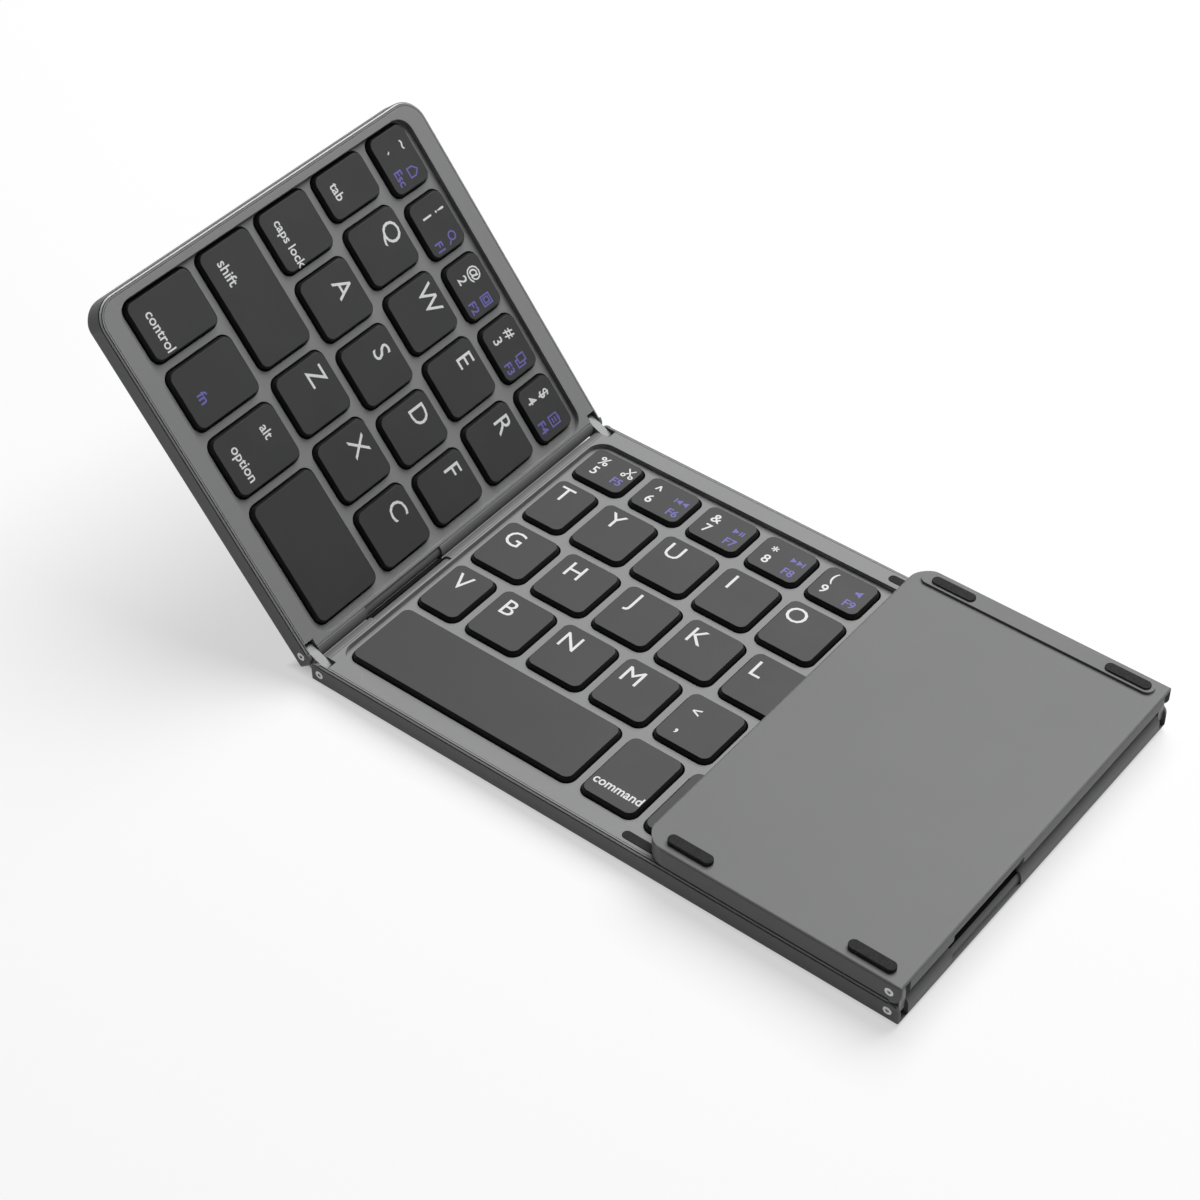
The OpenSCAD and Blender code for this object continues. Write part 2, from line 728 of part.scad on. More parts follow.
module hinge_pin() {
    rotate([-90, 0, 0]) difference() {
        union() {
            cylinder(h = pin_len, r = pin_r);
            cylinder(h = pin_head_t, r = pin_head_r);
        }
        translate([0, 0, -eps]) cylinder(h = pin_socket_d, r = pin_socket_r, $fn = 6);
    }
}

module pins(places, turned) {
    color(steel_colour) at_pins(places, turned) hinge_pin();
}

// Strip of flat cable that bridges the fold, halfway along the link
module cable_strip() {
    color(rubber_colour)
        translate([(link_l - cable_t) / 2, cable_mid - cable_l / 2, cable_in - cable_h])
            cube([cable_t, cable_l, cable_h]);
}

// ---- Centre panel ----

module centre_back_shell() {
    in_centre() shell(centre_ends, [true, true], centre_pins, [true, false]);
}

module centre_deck() {
    color(deck_colour) in_centre() difference() {
        deck(centre_ends, [true, true], centre_pins, [true, false], centre_field, centre_keys);
        finger_scoop();
        rim_pad_places() translate([0, 0, -pad_sunk])
            linear_extrude(pad_sunk + over) rounded(pad_l, pad_w, pad_w / 2 - eps);
    }
}

// Shallow scoop that widens the key field towards the front edge, with slanted ends
module finger_scoop() {
    reach = well_side - scoop_inset;
    translate([centre_ends[0] + scoop_x, scoop_inset - half_d, panel_t - scoop_depth])
        linear_extrude(big)
            polygon([[0, 0], [scoop_l, 0], [scoop_l + reach, reach], [scoop_l + reach, reach + eps],
                     [-reach, reach + eps], [-reach, reach]]);
}

module rim_pad_places() {
    for (side = [-1, 1]) translate([pad_mid_x, side * (half_d - pad_y), panel_t]) children();
}

module centre_rim_pads() {
    color(rubber_colour) in_centre() rim_pad_places() translate([0, 0, -pad_sunk])
        linear_extrude(pad_sunk + pad_proud) rounded(pad_l, pad_w, pad_w / 2 - eps);
}

module centre_key_board() {
    in_centre() key_board([centre_ends[0] + board_inset, centre_ends[1] - board_inset]);
}

module centre_rubber_domes() {
    in_centre() domes(centre_keys);
}

module centre_scissor_frames() {
    in_centre() scissors(centre_keys);
}

module centre_feet() {
    in_centre() feet([centre_ends[0] + foot_x, centre_ends[1] - foot_x]);
}

module centre_hinge_pins() {
    in_centre() pins(centre_pins, [true, false]);
}

// ---- Left panel ----

module left_back_shell() {
    in_left() shell(left_ends, [false, true], [0], [false]);
}

module left_deck() {
    color(deck_colour) in_left()
        deck(left_ends, [false, true], [0], [false], left_field, left_keys);
}

module left_key_board() {
    in_left() key_board([left_ends[0] + shell_wall + ledge_w + board_side, left_ends[1] - board_inset]);
}

module left_rubber_domes() {
    in_left() domes(left_keys);
}

module left_scissor_frames() {
    in_left() scissors(left_keys);
}

module left_feet() {
    in_left() feet([left_ends[0] + foot_free_x, left_ends[1] - foot_x]);
}

module left_hinge_pins() {
    in_left() pins([0], [false]);
}

// ---- Right panel ----

module right_back_shell() {
    color(shell_colour) in_right() difference() {
        shell(right_ends, [true, false], [0], [true]);
        socket_space(socket_clear);
    }
}

// The charging socket's space with a gap all round, open through the back wall
module socket_space(gap) {
    block([socket_x - socket_w / 2 - gap, socket_x + socket_w / 2 + gap],
          [half_d - shell_wall - ledge_w - over, half_d + over],
          [shell_floor + main_board_t - gap, shell_floor + main_board_t + socket_h + gap]);
}

module right_deck() {
    color(deck_colour) in_right() difference() {
        deck_blank(right_ends, [true, false], [0], [true], right_field);
        for (side = [-1, 1]) key_hole(click_button_key(side));
        lens_places() translate([0, 0, -big / 2]) cylinder(h = big, r = lens_r + pin_seat);
    }
}

function click_button_key(side) = [pad_mid + side * (click_w + key_gap) / 2, click_y, click_w, click_d];

module touchpad() {
    color(shell_colour) in_right() translate([pad_mid, touchpad_y, web_top])
        linear_extrude(well_depth - cap_sunk)
            rounded(touchpad_w - 2 * touchpad_clear, touchpad_d - 2 * touchpad_clear, touchpad_r);
}

module click_button(side) {
    key = click_button_key(side);
    color(cap_colour) in_right() translate([key[0], key[1], cap_level - click_t])
        linear_extrude(click_t) rounded(key[2], key[3], cap_r);
}

module lens_places() {
    for (i = [0:2]) translate([pad_x0 + lens_inset + i * lens_pitch, lens_y, panel_t]) children();
}

module indicator_lenses() {
    color(lens_colour) in_right() lens_places() translate([0, 0, -rim_t])
        cylinder(h = rim_t, r = lens_r);
}

// Chips on the main board: place along its width and its depth, and edge, as shares
chips = [[-0.33, 0.3, 1], [0.04, 0.43, 0.7], [-0.08, 0.7, 0.5], [0.29, 0.78, 0.4]];

module main_board() {
    low = inner_side - main_board_d;
    top = shell_floor + main_board_t;
    color(board_colour) in_right() {
        translate([pad_mid, low + main_board_d / 2, shell_floor])
            linear_extrude(main_board_t) rounded(main_board_w, main_board_d, board_r);
        for (chip = chips) let (edge = chip[2] * chip_w)
            translate([pad_mid + chip[0] * main_board_w, low + chip[1] * main_board_d, top - eps])
                translate([-edge / 2, -edge / 2, 0]) cube([edge, edge, chip_t]);
    }
}

module battery() {
    color(battery_colour) in_right() translate([pad_mid, battery_d / 2 - inner_side, shell_floor])
        linear_extrude(battery_t) rounded(battery_w, battery_d, battery_r);
}

module charge_socket() {
    base = shell_floor + main_board_t;
    tongue_w = socket_w * 2 / 3;
    color(steel_colour) in_right() translate([socket_x, half_d - shell_wall / 2 - socket_l, base]) {
        difference() {
            translate([-socket_w / 2, 0, 0]) cube([socket_w, socket_l, socket_h]);
            translate([socket_wall - socket_w / 2, socket_wall, socket_wall])
                cube([socket_w - 2 * socket_wall, socket_l, socket_h - 2 * socket_wall]);
        }
        translate([-tongue_w / 2, 0, (socket_h - tongue_t) / 2])
            cube([tongue_w, socket_l - tongue_t, tongue_t]);
    }
}

module right_feet() {
    in_right() feet([right_ends[0] + foot_x, right_ends[1] - foot_free_x]);
}

module right_hinge_pins() {
    in_right() pins([0], [true]);
}

// ---- Pieces that turn with a link ----

module left_hinge_links() {
    in_left_link() mirror([1, 0, 0]) links();
}

module right_hinge_links() {
    in_right_link() links();
}

module left_cable_strip() {
    in_left_link() mirror([1, 0, 0]) cable_strip();
}

module right_cable_strip() {
    in_right_link() cable_strip();
}

// ---- Keys ----

module left_cap(entry) {
    in_left() key_cap(left_key(entry[1], entry[2]));
}

module centre_caps(entry) {
    in_centre() for (i = [entry[2]:entry[3]]) key_cap(centre_key(entry[1], i));
}

centre_back_shell();
centre_deck();
centre_key_board();
centre_rubber_domes();
centre_scissor_frames();
centre_feet();
centre_hinge_pins();
centre_rim_pads();
left_back_shell();
left_deck();
left_key_board();
left_rubber_domes();
left_scissor_frames();
left_feet();
left_hinge_pins();
right_back_shell();
right_deck();
touchpad();
click_button(-1);  // left_click_button
click_button(1);  // right_click_button
main_board();
battery();
charge_socket();
indicator_lenses();
right_feet();
right_hinge_pins();
left_hinge_links();
right_hinge_links();
left_cable_strip();
right_cable_strip();
for (entry = left_names) left_cap(entry);
for (entry = centre_names) centre_caps(entry);
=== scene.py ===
"""Key caps, legends, finishes, floor and light for a wireless keyboard that folds in three."""

import json
import math

import bmesh
import bpy
from mathutils import Matrix, Vector

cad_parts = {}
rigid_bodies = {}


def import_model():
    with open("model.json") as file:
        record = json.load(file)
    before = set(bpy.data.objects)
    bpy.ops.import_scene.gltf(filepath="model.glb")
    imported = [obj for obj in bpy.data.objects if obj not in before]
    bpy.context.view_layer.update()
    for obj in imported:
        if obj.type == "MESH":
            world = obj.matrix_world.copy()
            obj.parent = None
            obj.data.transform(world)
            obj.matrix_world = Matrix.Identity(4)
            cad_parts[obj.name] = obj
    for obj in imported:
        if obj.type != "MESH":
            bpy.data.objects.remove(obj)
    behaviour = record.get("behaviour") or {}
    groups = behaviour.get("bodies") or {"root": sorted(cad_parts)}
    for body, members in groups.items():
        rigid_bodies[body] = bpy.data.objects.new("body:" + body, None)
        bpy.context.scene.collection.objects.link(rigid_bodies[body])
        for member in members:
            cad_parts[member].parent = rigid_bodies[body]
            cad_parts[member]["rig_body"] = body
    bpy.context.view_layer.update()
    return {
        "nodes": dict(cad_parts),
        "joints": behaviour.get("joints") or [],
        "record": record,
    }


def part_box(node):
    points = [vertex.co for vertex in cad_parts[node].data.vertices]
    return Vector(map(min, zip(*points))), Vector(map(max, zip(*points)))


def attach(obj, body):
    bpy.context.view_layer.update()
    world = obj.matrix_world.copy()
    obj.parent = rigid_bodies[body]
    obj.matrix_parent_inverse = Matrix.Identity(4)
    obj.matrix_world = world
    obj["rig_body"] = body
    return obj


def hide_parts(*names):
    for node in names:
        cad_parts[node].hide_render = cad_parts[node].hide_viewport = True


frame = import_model()

bl_info = {
    "name": "Folding Keyboard",
    "version": (1, 0, 0),
    "blender": (4, 5, 0),
    "location": "3D View > Sidebar > Keyboard",
    "description": "Dresses a keyboard of three folding panels: caps, legends, finishes and stage",
    "category": "Object",
}

MM = 0.001
SLOTS = {row["node"]: row["material_slot"] for row in frame["record"]["subparts"]}
JOINTS = {joint["name"]: joint for joint in frame["joints"]}


# ---- Places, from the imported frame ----


def body_of_node(node):
    return frame["nodes"][node]["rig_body"]


def panel_frame(panel):
    """Matrix from a panel's own frame, x across, y back, z out of its keys, to the row frame."""
    if panel != "left_panel":
        return Matrix.Identity(4)
    out = -Vector(JOINTS["key_q_press"]["axis"]).normalized()
    back = Vector((0, 1, 0))
    turn = Matrix((back.cross(out), back, out)).transposed().to_4x4()
    turn.translation = Vector(JOINTS["left_fold"]["pos_m"])
    return turn


def key_frame(node):
    """The frame of the panel that carries a key node, which may press or be fixed to it."""
    body = body_of_node(node)
    carriers = [joint["parent"] for joint in frame["joints"] if joint["child"] == body]
    return panel_frame(carriers[0] if body.startswith("key") and carriers else body)


def merged(node):
    """A CAD node's mesh as a bmesh with its loose triangles joined."""
    bm = bmesh.new()
    bm.from_mesh(frame["nodes"][node].data)
    bmesh.ops.remove_doubles(bm, verts=bm.verts, dist=0.001 * MM)
    return bm


def cap_boxes(node):
    """(lowest, highest) corner of each cap of a key node in its panel's frame, from the left."""
    place = key_frame(node).inverted()
    bm = merged(node)
    seen, boxes = set(), []
    for first in bm.verts:
        if first in seen:
            continue
        seen.add(first)
        island = [first]
        for vert in island:
            neighbours = {edge.other_vert(vert) for edge in vert.link_edges} - seen
            seen |= neighbours
            island.extend(neighbours)
        points = [place @ vert.co for vert in island]
        boxes.append(tuple(Vector(map(pick, zip(*points))) for pick in (min, max)))
    bm.free()
    return sorted(boxes, key=lambda box: box[0].x)


def carry(obj, body, slot, *nodes):
    """The piece rides on its body and stands for its CAD nodes, which it hides; slot is not used."""
    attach(obj, body)
    if nodes:
        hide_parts(*nodes)


def link_object(name, mesh):
    obj = bpy.data.objects.new(name, mesh)
    bpy.context.scene.collection.objects.link(obj)
    return obj


def mesh_from(bm, name):
    mesh = bpy.data.meshes.new(name)
    bm.to_mesh(mesh)
    bm.free()
    return mesh


# ---- Nodes, for the finishes, the key caps and the floor ----

NOISE_LOW, NOISE_HIGH = 0.35, 0.65  # where most values of a noise lie


def fill_socket(tree, socket, value):
    """Links a socket to another one, or sets its constant."""
    if isinstance(value, bpy.types.NodeSocket):
        tree.links.new(value, socket)
    else:
        socket.default_value = value


def add_node(tree, kind, inputs=(), **settings):
    """A node with its settings made, and then its inputs filled by name or number."""
    node = tree.nodes.new(kind)
    for name, value in settings.items():
        setattr(node, name, value)
    for name, value in dict(inputs).items():
        fill_socket(tree, node.inputs[name], value)
    return node


def math_node(tree, operation, *values):
    """The result of a Math node on numbers or sockets."""
    return add_node(tree, "ShaderNodeMath", enumerate(values), operation=operation).outputs[0]


def vector_node(tree, operation, *values):
    """The result of a Vector Math node on vectors or sockets."""
    node = add_node(tree, "ShaderNodeVectorMath", enumerate(values), operation=operation)
    return node.outputs[0]


def between(tree, value, low, high, start=NOISE_LOW, end=NOISE_HIGH):
    """Maps a value from start..end to low..high."""
    inputs = {"Value": value, "From Min": start, "From Max": end, "To Min": low, "To Max": high}
    return add_node(tree, "ShaderNodeMapRange", inputs).outputs["Result"]


def shaded(colour, factor=1.0):
    """A colour property times a factor, as a node's colour."""
    return (*(min(1.0, channel * factor) for channel in colour), 1)


# ---- Finishes ----


class Finish:
    """A new material with its shader's constants set, and the place that its patterns read."""

    def __init__(self, name, constants=(), stretch=(1, 1, 1)):
        self.material = bpy.data.materials.new(name + "_finish")
        self.material.use_nodes = True
        self.tree = self.material.node_tree
        self.shader = self.tree.nodes["Principled BSDF"]
        for socket, value in dict(constants).items():
            self.shader.inputs[socket].default_value = value
        where = add_node(self.tree, "ShaderNodeTexCoord").outputs["Object"]
        mapping = add_node(self.tree, "ShaderNodeMapping", {"Vector": where, "Scale": stretch})
        self.place = mapping.outputs["Vector"]

    def noise(self, size, detail=2.0, roughness=0.55):
        """Noise whose grains are about size metres."""
        return add_node(self.tree, "ShaderNodeTexNoise", {
            "Vector": self.place, "Scale": 1.0 / size, "Detail": detail, "Roughness": roughness,
        }).outputs["Fac"]

    def paint(self, socket, value):
        self.tree.links.new(value, self.shader.inputs[socket])

    def tint(self, value, colour, dark, light):
        """Base colour between dark and light times a colour, by a noise value."""
        ramp = add_node(self.tree, "ShaderNodeValToRGB", {"Fac": value})
        stops = zip(ramp.color_ramp.elements, (NOISE_LOW, NOISE_HIGH), (dark, light))
        for stop, place, factor in stops:
            stop.position = place
            stop.color = shaded(colour, factor)
        self.paint("Base Color", ramp.outputs["Color"])

    def gloss(self, value, low, high):
        """Roughness between low and high, by a noise value."""
        self.paint("Roughness", between(self.tree, value, low, high))

    def relief(self, value, depth, strength):
        """Relief of depth metres, by a value of 0 to 1."""
        inputs = {"Height": value, "Distance": depth, "Strength": strength}
        self.paint("Normal", add_node(self.tree, "ShaderNodeBump", inputs).outputs["Normal"])


def shell_metal(colour):
    """Bead-blasted, anodised aluminium with a fine grain and a faint cloudy tone."""
    finish = Finish("shell_metal", {"Metallic": 0.06, "Specular IOR Level": 0.25})
    grain = finish.noise(0.16 * MM)
    finish.tint(finish.noise(22 * MM), colour, 0.985, 1.015)
    finish.gloss(grain, 0.46, 0.58)
    finish.relief(grain, 0.006 * MM, 0.5)
    return finish.material


def cut_edge(colour):
    """Bright cut edge round the rims, with fine cutter marks: partly the bare metal of the cut, partly
    a painted highlight.
    """
    finish = Finish("cut_edge", {"Metallic": 0.3})
    marks = finish.noise(0.2 * MM)
    finish.tint(marks, colour, 0.92, 1.05)
    finish.gloss(marks, 0.34, 0.46)
    return finish.material


def deck_plastic(colour):
    """Painted moulding with a fine satin grain."""
    finish = Finish("deck_plastic")
    grain = finish.noise(0.22 * MM, 3)
    finish.tint(finish.noise(30 * MM), colour, 0.985, 1.015)
    finish.gloss(grain, 0.46, 0.6)
    finish.relief(grain, 0.008 * MM, 0.5)
    return finish.material


def key_caps(colour):
    """Soft-touch paint on the key tops, slightly polished by fingers in places."""
    finish = Finish("key_caps")
    touch = finish.noise(9 * MM)
    finish.tint(touch, colour, 0.97, 1.03)
    finish.gloss(touch, 0.52, 0.56)
    finish.relief(finish.noise(0.13 * MM), 0.007 * MM, 0.55)
    return finish.material


def cap_side(colour):
    """Near-black on the sides and underside of the caps and the outer part of their edge round, partly
    bare black moulding and partly painted shade; also the painted shade lines along the rims' cut.
    """
    finish = Finish("cap_side", {"Roughness": 0.5, "Specular IOR Level": 0.35})
    grain = finish.noise(0.3 * MM, 3)
    finish.tint(grain, colour, 0.8, 1.2)
    finish.relief(grain, 0.01 * MM, 0.4)
    return finish.material


def legend_ink(name, colour):
    """Printed ink with a slightly uneven cover."""
    finish = Finish(name, {"Roughness": 0.55})
    finish.tint(finish.noise(0.25 * MM), colour, 0.93, 1.0)
    return finish.material


def white_ink(colour):
    """Ink of letters, numbers and signs."""
    return legend_ink("white_ink", colour)


def blue_ink(colour):
    """Ink of the marks that go with the function key."""
    return legend_ink("blue_ink", colour)


def black_rubber(colour):
    """Moulded rubber with a dull pebbled skin."""
    finish = Finish("black_rubber")
    pebble = finish.noise(0.35 * MM, 4, 0.6)
    finish.tint(finish.noise(4 * MM, 3), colour, 0.85, 1.3)
    finish.gloss(pebble, 0.7, 0.88)
    finish.relief(pebble, 0.02 * MM, 0.6)
    return finish.material


def flat_cable(colour):
    """Black film that covers the flat cables; the same near-black is painted shade on the right fold's
    rails round the slot where the cable crosses.
    """
    finish = Finish("flat_cable", {"Specular IOR Level": 0.12}, (1, 0.2, 1))
    film = finish.noise(0.4 * MM, 3)
    finish.tint(film, colour, 0.8, 1.2)
    finish.gloss(film, 0.6, 0.75)
    return finish.material


def hinge_steel(colour):
    """Satin steel, brushed along its length."""
    finish = Finish("hinge_steel", {"Metallic": 0.35}, (1, 0.05, 1))
    brushed = finish.noise(0.09 * MM, 3)
    finish.tint(brushed, colour, 0.9, 1.08)
    finish.gloss(brushed, 0.36, 0.5)
    finish.relief(brushed, 0.004 * MM, 0.5)
    return finish.material


def pin_steel(colour):
    """Turned pin heads with fine tool marks."""
    finish = Finish("pin_steel", {"Metallic": 1.0})
    marks = finish.noise(0.12 * MM)
    finish.tint(marks, colour, 0.85, 1.05)
    finish.gloss(marks, 0.22, 0.36)
    return finish.material


def circuit_board(colour):
    """Solder mask with copper tracks that run both ways under it."""
    finish = Finish("circuit_board")
    tracks_per_metre = 180
    tracks = add_node(finish.tree, "ShaderNodeTexBrick", {
        "Vector": finish.place, "Scale": tracks_per_metre, "Mortar Size": 0.06,
        "Color1": shaded(colour), "Color2": shaded(colour, 1.35), "Mortar": shaded(colour, 2.6),
    })
    finish.paint("Base Color", tracks.outputs["Color"])
    finish.gloss(finish.noise(0.5 * MM), 0.28, 0.4)
    finish.relief(tracks.outputs["Fac"], 0.01 * MM, 0.4)
    return finish.material


def dome_rubber(colour):
    """Milky silicone."""
    finish = Finish("dome_rubber", {"Subsurface Weight": 0.3, "Subsurface Radius": (MM, MM, MM)})
    cloud = finish.noise(1.2 * MM, 3)
    finish.tint(cloud, colour, 0.92, 1.0)
    finish.gloss(cloud, 0.36, 0.48)
    return finish.material


def scissor_plastic(colour):
    """Natural moulded acetal."""
    finish = Finish("scissor_plastic", stretch=(1, 0.3, 1))
    flow = finish.noise(1.0 * MM, 3)
    finish.tint(flow, colour, 0.93, 1.0)
    finish.gloss(flow, 0.34, 0.46)
    finish.relief(flow, 0.004 * MM, 0.4)
    return finish.material


def touch_surface(colour):
    """Etched touch plate, smoother than the deck round it."""
    finish = Finish("touch_surface")
    swipe = finish.noise(14 * MM)
    finish.tint(swipe, colour, 0.98, 1.02)
    finish.gloss(swipe, 0.4, 0.44)
    finish.relief(finish.noise(0.1 * MM), 0.004 * MM, 0.5)
    return finish.material


def battery_foil(colour):
    """Crinkled pouch foil."""
    finish = Finish("battery_foil", {"Metallic": 0.85})
    crinkle = finish.noise(2.5 * MM, 5, 0.6)
    finish.tint(crinkle, colour, 0.88, 1.05)
    finish.gloss(crinkle, 0.28, 0.42)
    finish.relief(crinkle, 0.05 * MM, 0.6)
    return finish.material


def socket_metal(colour):
    """Drawn and plated socket can."""
    finish = Finish("socket_metal", {"Metallic": 1.0}, (1, 0.1, 1))
    drawn = finish.noise(0.2 * MM, 3)
    finish.tint(drawn, colour, 0.88, 1.06)
    finish.gloss(drawn, 0.26, 0.4)
    return finish.material


def lens_plastic(colour):
    """Clear light pipes, frosted inside."""
    finish = Finish("lens_plastic", {"Transmission Weight": 0.6, "IOR": 1.5})
    frost = finish.noise(0.3 * MM)
    finish.tint(frost, colour, 0.9, 1.0)
    finish.gloss(frost, 0.08, 0.2)
    return finish.material


FINISHES = {make.__name__: make for make in (
    shell_metal, cut_edge, deck_plastic, key_caps, cap_side, white_ink, blue_ink, black_rubber,
    flat_cable, hinge_steel, pin_steel, circuit_board, dome_rubber, scissor_plastic,
    touch_surface, battery_foil, socket_metal, lens_plastic,
)}


def finish_of(name):
    """The finish of that name in the colour that the user chose for it, made once."""
    known = bpy.data.materials.get(name + "_finish")
    return known or FINISHES[name](getattr(bpy.context.scene.keyboard_colours, name))


# ---- Softened copies of the CAD pieces ----

# Finishes of a shell's copy: metal, the lip's deck finish, the bright cut that is partly painted
# highlight, near-black for the painted shade lines along the cut and for the cap sides, and near-black
# painted shade in the right fold's cable slot.
SHELL_FINISHES = ("shell_metal", "deck_plastic", "cut_edge", "cap_side", "flat_cable")
NEAR = 0.01 * MM  # closer than this is the same place
SHARP = math.radians(32)  # edges that turn more than this are rounded
LEVEL, CUT_TILT = 0.99, (0.6, 0.8)  # how squarely the lip and the cut look out of the keys


def plain_faces(node):
    """A CAD node's mesh as a smooth bmesh whose flat faces are whole."""
    bm = merged(node)
    bmesh.ops.dissolve_limit(
        bm, angle_limit=math.radians(0.5), verts=bm.verts, edges=bm.edges
    )
    for face in bm.faces:
        face.smooth = True
    return bm


def softened(node, name, finish, width, bm=None):
    """A copy of a CAD node with a small round on its sharp edges, or of its worked bm."""
    obj = link_object(name, mesh_from(bm or plain_faces(node), name))
    obj.data.materials.append(finish_of(finish))
    bevel = obj.modifiers.new("rounded_edges", "BEVEL")
    bevel.width = width
    bevel.segments = 2
    bevel.limit_method = "ANGLE"
    bevel.angle_limit = SHARP
    bevel.use_clamp_overlap = True
    flat = obj.modifiers.new("flat_faces_stay_flat", "WEIGHTED_NORMAL")
    flat.mode = "FACE_AREA"
    flat.weight = 50
    flat.keep_sharp = True
    carry(obj, body_of_node(node), SLOTS[node], node)
    return obj


def rim_up(panel):
    """The way out of a panel's keys: the right panel lies shut and faces down."""
    return Vector((0, 0, -1)) if panel == "right" else panel_frame(panel + "_panel").col[2].xyz


def cut_rim(panel, bm, width):
    """Chamfers the shell's outer rim edge, gives the lip the deck's finish, and paints the cut: a
    bright middle band, partly bare metal and partly painted highlight, between two near-black lines of
    painted shade.
    """
    up = rim_up(panel)
    across = Vector((0, 1, 0)).cross(up)
    hinge_sides = {"centre": (-1, 1), "left": (1,), "right": (-1,)}[panel]
    rim = max(vert.co.dot(up) for vert in bm.verts)
    # Depths that split the cut into a painted shade line, the bright band with its painted highlight,
    # and a second painted shade line.
    lines = (width / 4, width * 3 / 4)

    def slice_at(place, way):
        bmesh.ops.bisect_plane(
            bm, geom=[*bm.verts, *bm.edges, *bm.faces], dist=0.1 * NEAR,
            plane_co=way * place, plane_no=way,
        )

    def is_outer_wall(face):
        way = face.normal
        faces_hinge = any(side * way.dot(across) > 0.8 for side in hinge_sides)
        if abs(way.dot(up)) > 0.1 or faces_hinge:
            return False
        return face.verts[0].co.dot(way) > max(vert.co.dot(way) for vert in bm.verts) - NEAR

    slice_at(rim - width, up)
    ends = []
    for side in hinge_sides:
        crown = max(side * v.co.dot(across) for v in bm.verts if v.co.dot(up) > rim - NEAR)
        ends.append((side, crown - 5 * NEAR))
        slice_at(crown - 5 * NEAR, across * side)
    moves = {}
    for vert in bm.verts:
        walls = [face.normal for face in vert.link_faces if is_outer_wall(face)]
        kept = any(side * vert.co.dot(across) > stop + NEAR for side, stop in ends)
        if walls and not kept and vert.co.dot(up) > rim - NEAR:
            way = sum(walls, Vector()).normalized()
            moves[vert] = way * width / way.dot(walls[0])
    for vert, move in moves.items():
        vert.co -= move
    for line in lines:
        slice_at(rim - line, up)
    bm.normal_update()
    for face in bm.faces:
        face.smooth = True
        depth = rim - face.calc_center_median().dot(up)
        tilt = face.normal.dot(up)
        if tilt > LEVEL and depth < NEAR:
            face.material_index = SHELL_FINISHES.index("deck_plastic")
        elif depth < width and CUT_TILT[0] < tilt < CUT_TILT[1]:
            # The cut's middle gets the bright finish, partly painted highlight; its two ends get
            # near-black lines of painted shade.
            bright = lines[0] < depth < lines[1]
            face.material_index = SHELL_FINISHES.index("cut_edge" if bright else "cap_side")
    return bm


def paint_slot_shade(bm):
    """Paints near-black shade on the shut right fold's rail faces round the slot where its flat cable
    crosses.
    """
    beside_cable, reach = 1 * MM, 1.3 * MM
    low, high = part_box("right_cable_strip")
    axes = [Vector(JOINTS[name]["pos_m"]) for name in ("right_link_turn", "right_fold")]
    slot = (axes[0] + axes[1]) / 2
    for face in bm.faces:
        middle = face.calc_center_median()
        ys = [vert.co.y for vert in face.verts]
        beside = low[1] - beside_cable < min(ys) and max(ys) < high[1] + beside_cable
        if beside and abs(middle.z - slot.z) < reach and abs(middle.x - slot.x) < 2 * reach:
            face.material_index = SHELL_FINISHES.index("flat_cable")
    return bm


def repaint(*nodes):
    """Gives CAD nodes that keep their own shape the finish of their slot."""
    for node in nodes:
        obj = frame["nodes"][node]
        obj.data.materials.clear()
        obj.data.materials.append(finish_of(SLOTS[node]))


# ---- Key caps, one Geometry Nodes tree for all ----

CAP_CORNERS = 24
CAP_RINGS = 7
EDGE_MIDDLE = 0.3  # share of a cap's edge round that its middle ring is in from either end
# Faces that look up less squarely than PAINTED, the outer part of the edge round among them, get the
# near-black side finish: partly the caps' dark moulding, partly painted shade.
FLAT, PAINTED = 0.99, 0.95  # how squarely a face looks up to stay flat, and to be painted


